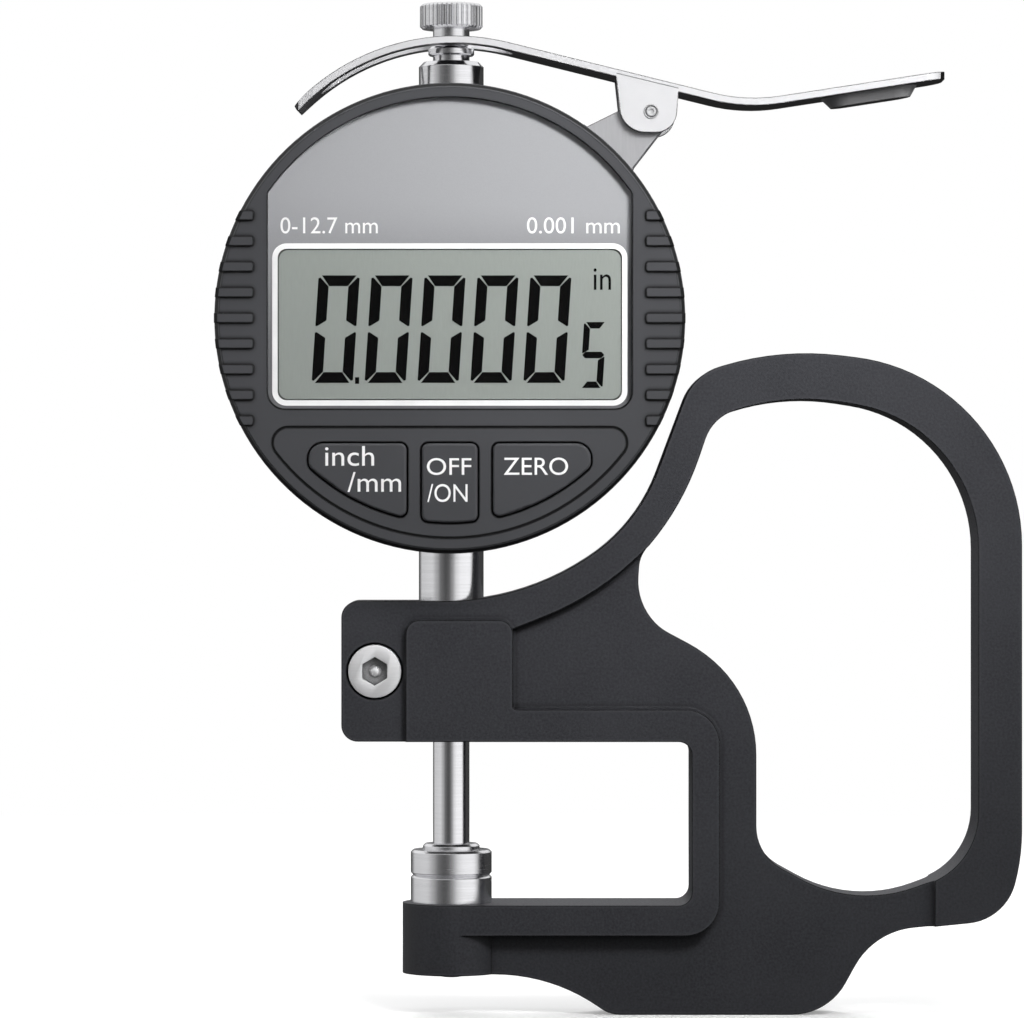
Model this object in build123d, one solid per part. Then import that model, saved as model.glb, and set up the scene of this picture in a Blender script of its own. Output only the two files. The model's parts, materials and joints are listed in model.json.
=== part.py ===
from build123d import *

import os
from math import atan2, cos, degrees, radians, sin, sqrt, tan

# Digital thickness gauge: a round display head on an 8 mm stem, clamped in a cast hand frame.
# Millimetres. The origin is the centre of the anvil's measuring face, +Z runs up the measuring
# rod, +X points to the finger loop, and the display looks towards -Y.

# Fits and small standard sizes
seat_gap = 0.02             # radial clearance of pieces fixed to each other
running_gap = 0.05          # radial clearance of pieces that move on each other
rod_free = 0.6              # radial room where a hole only lets the rod through
edge_break = 0.3            # small chamfer on turned edges
past = 1.0                  # how far a cutter runs past a face
fuse = 0.1                  # overlap where two solids of one piece are joined
near = 0.01                 # places closer than this count as the same

# Measuring line
stem_d = 8.0                # standard indicator shank
rod_d = 4.5
travel = 12.7
contact_d = 10.0
contact_h = 3.1
contact_hub_d = 7.0
contact_hub_h = 0.76
contact_stud_d = 2.5
contact_stud_l = 5.0
anvil_d = 10.0
anvil_h = 3.4
anvil_shank_d = 5.0
anvil_shank_l = 5.6
anvil_screw_d = 3.0
anvil_screw_head_d = 5.9
anvil_screw_head_h = 0.65
anvil_screw_l = 6.4

# Frame: three levels of thickness, symmetric about Y = 0
web_t = 6.8
band_t = 10.0
ring_t = 11.8
foot_of_wall_r = 0.45       # cove where one level of the casting meets the next
throat = 29.5               # rod axis to the inside of the jaw
jaw_top = 16.6              # underside of the head
jaw_corner = 1.65
ring_top_w = 3.95
ring_side_w = 3.4
ring_base_w = 3.75
ring_corner = 4.2
boss_d = 12.0
boss_h = 8.65
head_left = -13.4
head_h = 17.2
head_corner = 2.0
stem_inset = 0.6            # from the head's underside to the stem's lower end
pad_left = -5.5
pad_right = 7.6
pad_h = 14.9
pad_corner = 1.7
arm_root_x = 8.6            # where the arm leaves the head
arm_root_r = 32.0
arm_bend = (22.86, 43.1)    # corner of the arm below the display head
arm_bend_r = 21.7
loop_shoulder = (29.8, 61.6)
loop_shoulder_r = 6.5
loop_crown = (40.5, 64.8)
loop_crown_r = 35.0
handle_x = 69.95            # outer side of the finger loop
handle_w = 5.35
loop_top_z = 61.2
loop_top_r = 23.2
handle_low_z = 2.4
handle_low_r = 25.0
heel = (67.95, -5.2)
heel_r = 6.5
foot_notch = (51.95, -6.8)
foot_notch_r = 9.2
foot_z = -17.0
foot_right_x = 46.3
foot_right_r = 7.5
foot_left_x = 19.5
foot_left_r = 4.0
belly_x = 12.35
belly_r = 22.4

# Finger opening inside the loop, anticlockwise from the nose behind the arm
nose = (22.7, 32.0)
nose_r = 7.4
nose_tip = (23.2, 39.3)
nose_tip_r = 4.1
arm_inner = (28.4, 45.45)
arm_inner_r = 33.0
grip_corner = (32.1, 56.3)
grip_corner_r = 5.5
grip_crown = (41.2, 59.2)
grip_crown_r = 28.0
grip_top_z = 55.5
grip_top_r = 17.9
grip_low_z = 1.45
grip_low_r = 9.2
grip_base = (49.6, -4.0)
grip_base_r = 17.4
web_edge_x = 37.5
web_edge_low_z = 2.65
web_edge_low_r = 5.9
web_edge_top_z = 24.1
web_edge_top_r = 15.3

# Edge between the raised band and the lower web
band_edge_bend = (18.2, 34.55)
band_edge_r = 36.0
band_edge_start_z = 29.7
band_edge_end = (25.5, 41.8)
step_x = 59.3               # where the handle steps down to the web
step_cove_r = 1.4           # cove at the foot of the step in the handle

# Head clamp
clamp_x = -9.32
clamp_screw_d = 4.0
clamp_head_d = 6.55
clamp_head_h = 3.6
clamp_recess = 0.25
clamp_head_gap = 0.2
clamp_hex = 2.9
clamp_hex_deep = 2.2
clamp_hex_turn = 30         # degrees, so that two corners point up and down
clamp_slit = 1.0

# Display head
body_d = 56.8
body_z = 68.1
face_y = -14.5
parting_y = 5.4
back_y = 9.4
rim_bevel = 0.6
side_wall = 2.2
front_wall = 2.4
rib_count = 9
rib_pitch = 3.09
rib_h = 1.15
rib_reach = 4.75            # from the rim inwards to the ribs' inner ends
rib_raise = 0.4
rib_root = 0.2              # how far the ribs run below the rim's bevel
rib_corner = 0.25

# Display window
window_t = 1.2
window_raise = 0.1
window_rim = 1.75           # rim left round the window's arched top
window_side = 6.4           # from the rim to the window's straight sides
window_foot = 2.05          # from the keypad's top to the window
window_corner = 2.1
window_shoulder_r = 0.6
window_gap = 0.1
view_side = 1.0             # from the window's sides to the clear view
view_foot = 0.95
view_h = 18.6
view_corner = 1.2
lcd_border = 1.0            # how far the display runs behind the housing all round the view
lcd_t = 1.8
lcd_holder_t = 1.6
lcd_holder_side = 1.5
strip_h = 1.6

# Keys
keypad_rim = 1.8            # rim left below the keypad
keypad_h = 15.35            # from the head's lowest point to the keypad's straight top
keypad_corner = 2.0
keypad_groove = 0.2
key_drop = 2.05             # from the keypad's top to the keys
key_rim = 3.75              # rim left below the keys
key_side_h = 2.75           # height of the outer keys' short outer sides
key_inner_x = 5.2
key_end_r = 1.8             # upper outer corner of the side keys
key_low_end_r = 1.2         # lower outer corner
key_corner = 0.8
power_half_w = 3.36
key_raise = 0.45
key_gap = 0.18
key_travel = 0.4
key_flange = 0.55
key_flange_t = 0.6
key_post_d = 3.0
key_post_in = 4.4           # posts of the side keys, from the keys' inner sides
key_post_drop = 4.2         # and from the keys' top
switch_d = 4.4
switch_h = 0.8

# Electronics
board_t = 1.2
board_gap = 0.6
board_post_d = 3.2
board_screw_d = 1.2
board_screw_head_d = 2.6
board_screw_head_h = 0.7
board_screw_l = 3.2
board_screw_in = 2.0        # lower board screws, from the side wall
board_screw_angle = 33.5    # degrees below the head's middle
board_screw_over = 1.65     # upper board screw, above the end of the sensor strip
screw_end_gap = 0.2
sensor_w = 9.0
sensor_l = 28.0
sensor_t = 0.6
slider_l = 14.0
slider_t = 0.8
sensor_gap = 0.25

# Rod guide inside the head
carrier_lift = 10.7         # from the lower guide boss to the carriage at rest
carrier_h = 8.0
carrier_wall = 2.2
carrier_side = 1.3          # wall outside the guide pin
carrier_back = 0.4          # behind the rod
carrier_corner = 0.8
guide_pin_d = 2.0
guide_x = 8.0
guide_boss_h = 4.4
guide_grip = 2.6            # length of the guide pin inside each boss
spring_wire = 0.5
spring_r = 3.3
spring_turns = 8
bushing_h = 3.7
bushing_chamfer = 0.6
bushing_depth = 5.6
stem_bushing_l = 9.0
stem_bushing_wall = 0.8

# Rear cover and battery
gasket_w = 0.9
gasket_t = 0.7
cover_floor = 0.6           # thickness of the cover behind the battery lid's level
cover_screw_in = 2.0        # from the side wall to the cover screws
cover_boss_l = 10.0         # depth of the screw posts in front of the parting plane
cover_screw_d = 1.6
cover_screw_head_d = 3.4
cover_screw_head_h = 1.2
cover_screw_l = 8.0
cover_boss_d = 4.6
cover_boss_skin = 0.5       # from the screw posts to the cover's outside
cross_w = 0.5               # cross slot of the cover screws
cross_l = 2.4
cross_deep = 0.6
cover_bevel = 1.0
battery_d = 20.0
battery_t = 3.2
battery_down = 4.1          # below the middle of the head
cell_contact_x = -7.0       # beside the rod
battery_gap = 0.3
lid_d = 24.0
lid_t = 1.6
lid_rim = 0.2               # wall of the battery pocket outside the lid
lid_slot_w = 1.6
lid_slot_l = 13.0
lid_slot_deep = 0.8
seal_section = 0.8
contact_strip_t = 0.25
contact_strip_w = 4.0

# Lifting end of the rod
collar_gap = 0.8            # between the bushing and the collar at rest
collar_d = 5.65
collar_h = 1.1
neck_d = 4.5
neck_h = 2.2
knob_d = 7.75
knob_h = 3.05
knob_flutes = 38
flute_deep = 0.22
flute_land = 0.5            # share of a flute's pitch that stays at full radius
flute_floor = 0.75          # where in the pitch the groove is deepest
knob_stud_d = 2.5
collar_stud_l = 3.0         # length screwed into the rod
collar_floor = 0.4          # metal left under the knob's stud

# Lifting lever
lever_t = 0.9
lever_w = 9.0
arch_x = 0.5
arch_r = 27.2
arch_clear = 0.1
arm_slope = 13.9            # degrees, downwards to the right
tip_angle = 45.5            # degrees of arch left of its top
tip_straight = 0.5
valley_x = 36.2
valley_r = 21.0
tail_slope = 8.7            # degrees, upwards to the right
tail_x = 60.7
slot_left_x = -16.0
slot_right_x = 7.6
slot_w = 5.0
tip_corner = 2.4
ear_left_x = 20.2
ear_right_x = 27.95
ear_low = 2.55              # below the pin's axis
ear_left_r = 3.2
ear_right_r = 2.6
ear_t = 1.0
ear_inset = 0.8             # how far the ears' left side leans in
dish_x = 51.4
dish_l = 12.0
dish_w = 6.2
dish_deep = 1.3
dish_angle = 38.0           # degrees that the dish's walls lean

# Lever bracket
pivot_x = 24.55
pin_drop = 4.168            # pin's axis below the lever's top line
pin_d = 1.5
pin_rivet_d = 1.8
pin_rivet_h = 0.12
bracket_half_w = 3.2
bracket_t = 0.8
bracket_low_angle = 39.8    # degrees from +X round the head
bracket_high_angle = 56.0   # degrees from +X round the head
bracket_left_slope = 26.3   # degrees
bracket_right_slope = 52.3  # degrees
bracket_nose_r = 2.4        # from the pin to the webs' blunt end
bracket_nose_corner = 1.9
bracket_screw_d = 1.4
bracket_screw_head_d = 2.6
bracket_screw_head_h = 0.8
bracket_screw_angle = 8.0   # degrees on the rim between the two screws

# Levels that follow from the sizes above
jaw_floor = -anvil_h
boss_floor = jaw_floor - boss_h
head_top = jaw_top + head_h
clamp_z = jaw_top + head_h / 2
body_r = body_d / 2
body_low = body_z - body_r
body_high = body_z + body_r
cavity_r = body_r - side_wall
keypad_r = body_r - keypad_rim
keypad_top_z = body_low + keypad_h
key_top_z = keypad_top_z - key_drop
key_low_r = body_r - key_rim
key_outer_x = sqrt(key_low_r ** 2 - (body_z - key_top_z + key_side_h) ** 2)
key_post_x = key_inner_x + key_post_in
key_post_z = key_top_z - key_post_drop
window_r = body_r - window_rim
window_half_w = body_r - window_side
window_low_z = keypad_top_z + window_foot
view_w = 2 * (window_half_w - view_side)
view_z = window_low_z + view_foot + view_h / 2
lcd_w = view_w + 2 * lcd_border
lcd_h = view_h + 2 * lcd_border
rib_inner_x = body_r - rib_reach
cover_screw_r = cavity_r - cover_screw_in
battery_z = body_z - battery_down
wall_y = face_y + front_wall
window_front = face_y - window_raise
pocket_y = window_front + window_t
lcd_back = wall_y + lcd_t
board_front = lcd_back + lcd_holder_t
board_back = board_front + board_t
sensor_back = board_back + sensor_t
slider_back = sensor_back + sensor_gap + slider_t
rod_low = contact_h + contact_hub_h
collar_z = body_high + bushing_h + collar_gap
neck_z = collar_z + collar_h
knob_z = neck_z + neck_h
knob_top = knob_z + knob_h
arch_low_z = neck_z + arch_clear
arch_z = arch_low_z + lever_t - arch_r
arm_x = arch_x + arch_r * sin(radians(arm_slope))
arm_z = arch_z + arch_r * cos(radians(arm_slope))
pivot_z = arm_z - tan(radians(arm_slope)) * (pivot_x - arm_x) - pin_drop
lid_y = back_y - lid_t
battery_back = lid_y - running_gap
battery_front = battery_back - battery_t
guide_boss_low = body_z - cavity_r + guide_boss_h
guide_boss_high = body_z + cavity_r - guide_boss_h
carrier_z = guide_boss_low + carrier_lift
sensor_z = carrier_z + carrier_h / 2 + travel / 2
board_screw_top_z = sensor_z + sensor_l / 2 + board_screw_over
stem_low = jaw_top + stem_inset


def rounded(corners):
    """Face in front view bounded by straight runs and tangent arcs, from (x, z, radius) corners.

    Two arcs that share a run are made smaller together where the run is too short for both.
    """
    count = len(corners)
    points = [Vector(x, z) for x, z, _ in corners]
    radii = [r for _, _, r in corners]
    runs = [points[(i + 1) % count] - points[i] for i in range(count)]
    reach = [tan(radians(runs[i - 1].get_angle(runs[i])) / 2) for i in range(count)]
    for i in range(count):
        j = (i + 1) % count
        needed = radii[i] * reach[i] + radii[j] * reach[j]
        room = runs[i].length - near
        if needed > room:
            radii[i] *= room / needed
            radii[j] *= room / needed
    return make_face(FilletPolyline(*points, radius=radii, close=True))


def plate(profile, front, back):
    """Extrudes a front-view profile from one Y level back to another."""
    return extrude(Plane.XZ.offset(-back) * profile, amount=back - front)


def at(x, z, profile):
    """Moves a front-view profile to a place."""
    return Pos(x, z) * profile


def turned(*outline):
    """Solid of revolution about the rod axis from (radius, height) points."""
    return revolve(make_face(Plane.XZ * Polyline(*outline, close=True)), Axis.Z)


def rod_piece(diameter, low, high):
    """Plain cylinder on the rod axis."""
    return Pos(0, 0, low) * Cylinder(diameter / 2, high - low, align=(Align.CENTER, Align.CENTER, Align.MIN))


def polar(angle, radius):
    """Point in front view at an angle and distance from the centre of the display head."""
    return radius * cos(radians(angle)), body_z + radius * sin(radians(angle))


def meet(p, p_angle, q, q_angle):
    """Point where two lines, each through a point at an angle in degrees, cross."""
    ax, az = cos(radians(p_angle)), sin(radians(p_angle))
    bx, bz = cos(radians(q_angle)), sin(radians(q_angle))
    s = ((q[0] - p[0]) * bz - (q[1] - p[1]) * bx) / (ax * bz - az * bx)
    return p[0] + s * ax, p[1] + s * az


def save(name, shape):
    """Writes one named piece."""
    export_step(shape, f"parts/{name}.step")


# Casting

def frame_outline():
    """Whole silhouette of the casting with the jaw, without the finger opening."""
    return rounded([
        (head_left, head_top, head_corner),
        (arm_root_x, head_top, arm_root_r),
        (*arm_bend, arm_bend_r),
        (*loop_shoulder, loop_shoulder_r),
        (*loop_crown, loop_crown_r),
        (handle_x, loop_top_z, loop_top_r),
        (handle_x, handle_low_z, handle_low_r),
        (*heel, heel_r),
        (*foot_notch, foot_notch_r),
        (foot_right_x, foot_z, foot_right_r),
        (foot_left_x, foot_z, foot_left_r),
        (belly_x, boss_floor, belly_r),
        (0, boss_floor, 0),
        (0, jaw_floor, 0),
        (throat, jaw_floor, jaw_corner),
        (throat, jaw_top, jaw_corner),
        (head_left, jaw_top, head_corner),
    ])


def finger_opening():
    """Opening that the fingers go through."""
    grip_x = handle_x - handle_w
    return rounded([
        (*nose, nose_r),
        (*nose_tip, nose_tip_r),
        (*arm_inner, arm_inner_r),
        (*grip_corner, grip_corner_r),
        (*grip_crown, grip_crown_r),
        (grip_x, grip_top_z, grip_top_r),
        (grip_x, grip_low_z, grip_low_r),
        (*grip_base, grip_base_r),
        (web_edge_x, web_edge_low_z, web_edge_low_r),
        (web_edge_x, web_edge_top_z, web_edge_top_r),
    ])


def web_area():
    """Region that is lower than the raised band, drawn past the casting where it has no edge."""
    under_pad = pad_right - pad_corner
    below = foot_z - ring_t
    jaw_middle = jaw_top / 2
    inside_loop = (grip_top_z + grip_low_z) / 2
    return rounded([
        (under_pad, band_edge_start_z, 0),
        (*band_edge_bend, band_edge_r),
        (*band_edge_end, 0),
        (step_x, inside_loop, 0),
        (step_x, below, 0),
        (head_left, below, 0),
        (head_left, jaw_middle, 0),
        (under_pad, jaw_middle, 0),
    ])


def raised_area():
    """Thickest level: the rim round the jaw with the pad over the stem bore, jaw opening included."""
    ring_x = throat + ring_side_w
    ring_floor = jaw_floor - ring_base_w
    pad_top = jaw_top + pad_h
    inside = jaw_top - edge_break
    behind = -boss_d / 4
    return rounded([
        (pad_left, inside, 0),
        (pad_left, pad_top, pad_corner),
        (pad_right, pad_top, pad_corner),
        (pad_right, jaw_top + ring_top_w, foot_of_wall_r),
        (ring_x, jaw_top + ring_top_w, ring_corner),
        (ring_x, ring_floor, ring_corner),
        (behind, ring_floor, 0),
        (behind, inside, 0),
    ])


def level_cutter(area, level):
    """Block that takes the casting's front down to a level over an area."""
    return extrude(Plane.XZ.offset(level) * area, amount=ring_t)


def base_edges(cutter, level):
    """Edges at the foot of a cutter, without those of the surrounding field."""
    inside = 1.5 * handle_x
    return [e for e in cutter.edges() if abs(e.center().Y + level) < near and abs(e.center().X) < inside]


def make_frame():
    body = plate(frame_outline() - finger_opening(), -ring_t / 2, ring_t / 2)
    field = at(handle_x / 2, body_z / 2, Rectangle(4 * handle_x, 4 * handle_x))
    band_level = band_t / 2
    around_ring = level_cutter(field - raised_area(), band_level)
    around_ring = fillet(base_edges(around_ring, band_level), foot_of_wall_r)
    web_level = web_t / 2
    web = level_cutter(web_area() - raised_area(), web_level)
    step_foot = [e for e in base_edges(web, web_level) if abs(e.center().X - step_x) < near]
    web = fillet(step_foot, step_cove_r)
    web = fillet(base_edges(web, web_level), foot_of_wall_r)
    for cutter in (around_ring, web):
        body -= cutter
        body -= mirror(cutter, Plane.XZ)
    body += rod_piece(boss_d, boss_floor, jaw_floor)
    body -= rod_piece(stem_d + 2 * seat_gap, jaw_top - past, head_top + past)
    body -= rod_piece(anvil_shank_d + 2 * seat_gap, jaw_floor - anvil_shank_l, jaw_floor + past)
    body -= rod_piece(anvil_screw_d + 2 * seat_gap, boss_floor - past, jaw_floor)
    slit_end = head_left - past
    body -= Pos(slit_end, 0, clamp_z) * Box(
        -slit_end, clamp_slit, head_h + 2 * past, align=(Align.MIN, Align.CENTER, Align.CENTER))
    body -= plate(at(clamp_x, clamp_z, Circle(clamp_screw_d / 2 + seat_gap)), -band_t, band_t)
    head_seat = clamp_recess + clamp_head_h - band_t / 2
    body -= plate(at(clamp_x, clamp_z, Circle(clamp_head_d / 2 + clamp_head_gap)), -band_t, head_seat)
    return body


def make_clamp_screw():
    head_front = -band_t / 2 + clamp_recess
    head = plate(at(clamp_x, clamp_z, Circle(clamp_head_d / 2)), head_front, head_front + clamp_head_h)
    head = chamfer(head.edges().group_by(Axis.Y)[0], edge_break)
    head_middle = head_front + clamp_head_h / 2
    shank = plate(at(clamp_x, clamp_z, Circle(clamp_screw_d / 2)), head_middle, band_t / 2)
    hexagon = Rot(0, 0, clamp_hex_turn) * RegularPolygon(clamp_hex / 2, 6, major_radius=False)
    socket = plate(at(clamp_x, clamp_z, hexagon), head_front - past, head_front + clamp_hex_deep)
    return head + shank - socket


# Measuring line

def make_anvil():
    r = anvil_d / 2
    s = anvil_shank_d / 2
    hole = anvil_screw_d / 2 + seat_gap
    low = jaw_floor - anvil_shank_l + seat_gap
    deep = boss_floor + anvil_screw_l + seat_gap
    return turned(
        (0, 0), (r - edge_break, 0), (r, -edge_break), (r, jaw_floor), (s, jaw_floor), (s, low),
        (hole, low), (hole, deep), (0, deep))


def make_anvil_screw():
    head = anvil_screw_head_d / 2
    dome_r = (head ** 2 + anvil_screw_head_h ** 2) / (2 * anvil_screw_head_h)
    floor = boss_floor - anvil_screw_head_h
    ball = Pos(0, 0, floor + dome_r) * Sphere(dome_r)
    dome = ball & rod_piece(2 * head, floor - past, boss_floor)
    return dome + rod_piece(anvil_screw_d, boss_floor - fuse, boss_floor + anvil_screw_l)


def make_contact_point():
    r = contact_d / 2
    h = contact_hub_d / 2
    c = edge_break
    stud = contact_stud_d / 2
    return turned(
        (0, 0), (r - c, 0), (r, c), (r, contact_h - c), (r - c, contact_h), (h, contact_h),
        (h, rod_low - c), (h - c, rod_low), (stud, rod_low), (stud, rod_low + contact_stud_l),
        (0, rod_low + contact_stud_l))


def make_spindle():
    low_hole = contact_stud_l + seat_gap
    high_hole = collar_stud_l + seat_gap
    rod = rod_piece(rod_d, rod_low, collar_z)
    rod -= rod_piece(contact_stud_d + 2 * seat_gap, rod_low - past, rod_low + low_hole)
    rod -= rod_piece(knob_stud_d + 2 * seat_gap, collar_z - high_hole, collar_z + past)
    return rod


def make_stem():
    top = guide_boss_low
    tube = rod_piece(stem_d, stem_low, top)
    tube = chamfer(tube.edges().group_by(Axis.Z)[0], edge_break)
    tube -= rod_piece(rod_d + 2 * rod_free, stem_low - past, top + past)
    seat = rod_d + 2 * running_gap + 2 * stem_bushing_wall
    tube -= rod_piece(seat, stem_low - past, stem_low + stem_bushing_l)
    return tube


def make_stem_bushing():
    outer = rod_d + 2 * running_gap + 2 * stem_bushing_wall - 2 * seat_gap
    ring = rod_piece(outer, stem_low, stem_low + stem_bushing_l - seat_gap)
    return ring - rod_piece(rod_d + 2 * running_gap, stem_low - past, stem_low + stem_bushing_l + past)


def make_upper_bushing():
    top = body_high + bushing_h
    ring = rod_piece(stem_d, body_high - bushing_depth, top)
    ring = chamfer(ring.edges().group_by(Axis.Z)[-1], bushing_chamfer)
    return ring - rod_piece(rod_d + 2 * running_gap, body_high - bushing_depth - past, top + past)


def make_lift_collar():
    c = edge_break / 2
    r = collar_d / 2
    stud = knob_stud_d / 2
    hole = knob_stud_d / 2 + seat_gap
    neck = neck_d / 2
    base = collar_z - collar_stud_l
    floor = collar_z + collar_floor
    return turned(
        (0, base), (stud, base), (stud, collar_z), (r - c, collar_z), (r, collar_z + c),
        (r, neck_z - 2 * c), (r - 2 * c, neck_z), (neck, neck_z), (neck, knob_z), (hole, knob_z),
        (hole, floor), (0, floor))


def make_lifting_knob():
    r = knob_d / 2
    rim = []
    for i in range(knob_flutes):
        for part, radius in ((0, r), (flute_land, r), (flute_floor, r - flute_deep)):
            a = radians((i + part) * 360 / knob_flutes)
            rim.append((radius * cos(a), radius * sin(a)))
    head = extrude(Plane.XY.offset(knob_z) * make_face(Polyline(*rim, close=True)), amount=knob_h)
    c = edge_break
    bevel = turned(
        (0, knob_z), (r - c, knob_z), (r, knob_z + c), (r, knob_top - c), (r - c, knob_top), (0, knob_top))
    stud_low = collar_z + collar_floor + seat_gap
    return (head & bevel) + rod_piece(knob_stud_d, stud_low, knob_z + fuse)


# Display head

def head_disc(radius):
    return at(0, body_z, Circle(radius))


def window_outline(gap):
    """Window shape: round top that follows the rim, straight sides and a straight foot."""
    half = window_half_w - gap
    low = window_low_z + gap
    high = body_high
    box = at(0, (low + high) / 2, Rectangle(2 * half, high - low))
    face = head_disc(window_r - gap) & box
    lower = face.vertices().group_by(Axis.Y)[0]
    face = fillet(lower, window_corner)
    shoulders = [v for v in face.vertices() if v.Y > body_z and abs(abs(v.X) - half) < near]
    return fillet(shoulders, window_shoulder_r)


def view_outline(gap):
    return at(0, view_z, RectangleRounded(view_w + 2 * gap, view_h + 2 * gap, view_corner))


def side_key_outline(grow):
    """Right-hand key: straight top and inner side, round outer end, lower edge follows the rim."""
    inner = key_inner_x - grow
    outer = key_outer_x + grow
    top = key_top_z + grow
    low = body_low
    box = at((inner + outer) / 2, (top + low) / 2, Rectangle(outer - inner, top - low))
    face = box & head_disc(key_low_r + grow)
    lower_end, upper_end = face.vertices().group_by(Axis.X)[-1].sort_by(Axis.Y)
    face = fillet(upper_end, key_end_r + grow)
    lower_end = face.vertices().group_by(Axis.X)[-1].sort_by(Axis.Y)[0]
    face = fillet(lower_end, key_low_end_r + grow)
    inner_corners = face.vertices().group_by(Axis.X)[0]
    return fillet(inner_corners, key_corner + grow)


def power_key_outline(grow):
    high = key_top_z + grow
    box = at(0, (high + body_low) / 2, Rectangle(2 * (power_half_w + grow), high - body_low))
    face = box & head_disc(key_low_r + grow)
    return fillet(face.vertices(), key_corner + grow)


def key_outlines(grow):
    right = side_key_outline(grow)
    return {"button_unit": mirror(right, Plane.YZ), "button_power": power_key_outline(grow),
            "button_zero": right}


def key_centres():
    return {"button_unit": (-key_post_x, key_post_z), "button_power": (0, key_post_z),
            "button_zero": (key_post_x, key_post_z)}


def keypad_outline(shrink):
    top = keypad_top_z - shrink
    box = at(0, (top + body_low) / 2, Rectangle(body_d, top - body_low))
    face = head_disc(keypad_r - shrink) & box
    return fillet(face.vertices(), keypad_corner - shrink)


def rib_rows():
    first = body_z + rib_pitch * (rib_count - 1) / 2
    return [first - i * rib_pitch for i in range(rib_count)]


def cover_screw_places():
    return [polar(45 + 90 * i, cover_screw_r) for i in range(4)]


def board_screw_places():
    x, z = polar(-board_screw_angle, cavity_r - board_screw_in)
    return [(-x, z), (x, z), (0, board_screw_top_z)]


def bracket_screw_angles():
    middle = (bracket_low_angle + bracket_high_angle) / 2
    return [middle - bracket_screw_angle / 2, middle + bracket_screw_angle / 2]


def rim_pin(angle, radius, low, high):
    """Cylinder that points out of the rim at an angle, between two distances from the centre."""
    x, z = cos(radians(angle)), sin(radians(angle))
    plane = Plane(origin=(low * x, 0, body_z + low * z), z_dir=(x, 0, z))
    return extrude(plane * Circle(radius), amount=high - low)


def make_front_housing():
    shell = plate(head_disc(body_r), face_y, parting_y)
    shell = chamfer(shell.edges().group_by(Axis.Y)[0], rim_bevel)
    rows = rib_rows()
    for z in rows:
        for side in (-1, 1):
            length = body_r - rib_inner_x
            bar = at(side * (rib_inner_x + length / 2), z, RectangleRounded(length, rib_h, rib_corner))
            outer = at(side * (rib_inner_x + length * 3 / 4), z, Rectangle(length / 2, rib_h))
            rib = (bar + outer) & head_disc(body_r)
            shell += plate(rib, face_y - rib_raise, face_y + rim_bevel + rib_root)
    shell -= plate(head_disc(cavity_r), wall_y, parting_y + past)
    for x, z in cover_screw_places():
        post = at(x, z, Circle(cover_boss_d / 2)) & head_disc(cavity_r + gasket_w / 4)
        shell += plate(post, parting_y - cover_boss_l, parting_y)
        hole = at(x, z, Circle(cover_screw_d / 2 + seat_gap))
        shell -= plate(hole, parting_y - cover_screw_l, parting_y + past)
    for x, z in board_screw_places():
        shell += plate(at(x, z, Circle(board_post_d / 2)), wall_y - fuse, board_front)
        hole = at(x, z, Circle(board_screw_d / 2 + seat_gap))
        shell -= plate(hole, board_front - board_screw_l, board_front + past)
    block_left = -stem_d / 2 - side_wall
    block_right = guide_x + guide_pin_d / 2 + side_wall
    block_w = block_right - block_left
    for low, high in ((body_low, guide_boss_low), (guide_boss_high, body_high)):
        block = at(block_left + block_w / 2, (low + high) / 2, Rectangle(block_w, high - low))
        shell += plate(block & head_disc(cavity_r + fuse), slider_back, parting_y)
    shell -= rod_piece(stem_d + 2 * seat_gap, body_low - past, guide_boss_low + past)
    shell -= rod_piece(stem_d + 2 * seat_gap, body_high - bushing_depth, body_high + past)
    shell -= rod_piece(rod_d + 2 * rod_free, guide_boss_high - past, body_high)
    guide_hole = guide_pin_d / 2 + seat_gap
    pin_low, pin_high = guide_pin_ends()
    shell -= Pos(guide_x, 0, pin_low - seat_gap) * Cylinder(
        guide_hole, pin_high - pin_low + 2 * seat_gap, align=(Align.CENTER, Align.CENTER, Align.MIN))
    shell -= plate(window_outline(0), face_y - past, pocket_y)
    shell -= plate(view_outline(0), face_y - past, wall_y + past)
    groove = keypad_outline(0) - keypad_outline(keypad_groove)
    shell -= plate(groove, face_y - past, face_y + keypad_groove)
    for outline in key_outlines(key_gap).values():
        shell -= plate(outline, face_y - past, wall_y + past)
    gasket_mid = (body_r + cavity_r) / 2
    ring = head_disc(gasket_mid + gasket_w / 2) - head_disc(gasket_mid - gasket_w / 2)
    shell -= plate(ring, parting_y - gasket_t, parting_y + past)
    for angle in bracket_screw_angles():
        shell -= rim_pin(angle, bracket_screw_d / 2 + seat_gap, cavity_r - past, body_r + past)
    return shell


def guide_pin_ends():
    return guide_boss_low - guide_grip, guide_boss_high + guide_grip


def make_guide_pin():
    low, high = guide_pin_ends()
    upright = (Align.CENTER, Align.CENTER, Align.MIN)
    return Pos(guide_x, 0, low) * Cylinder(guide_pin_d / 2, high - low, align=upright)


def make_housing_gasket():
    mid = (body_r + cavity_r) / 2
    half = gasket_w / 2 - seat_gap
    ring = head_disc(mid + half) - head_disc(mid - half)
    return plate(ring, parting_y - gasket_t + seat_gap, parting_y)


def make_window_panel():
    return plate(window_outline(window_gap), window_front, pocket_y)


def make_lcd_panel():
    return plate(at(0, view_z, Rectangle(lcd_w, lcd_h)), wall_y, lcd_back)


def strip_place(gap):
    strip = Rectangle(view_w - 2 * lcd_border + 2 * gap, strip_h + 2 * gap)
    return at(0, view_z - lcd_h / 2 + strip_h, strip)


def make_lcd_holder():
    outer = at(0, view_z, Rectangle(lcd_w, lcd_h))
    inner = at(0, view_z + strip_h, Rectangle(lcd_w - 2 * lcd_holder_side, lcd_h - 4 * strip_h))
    return plate(outer - inner - strip_place(seat_gap), lcd_back, board_front)


def make_contact_strip():
    return plate(strip_place(0), lcd_back, board_front)


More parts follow.
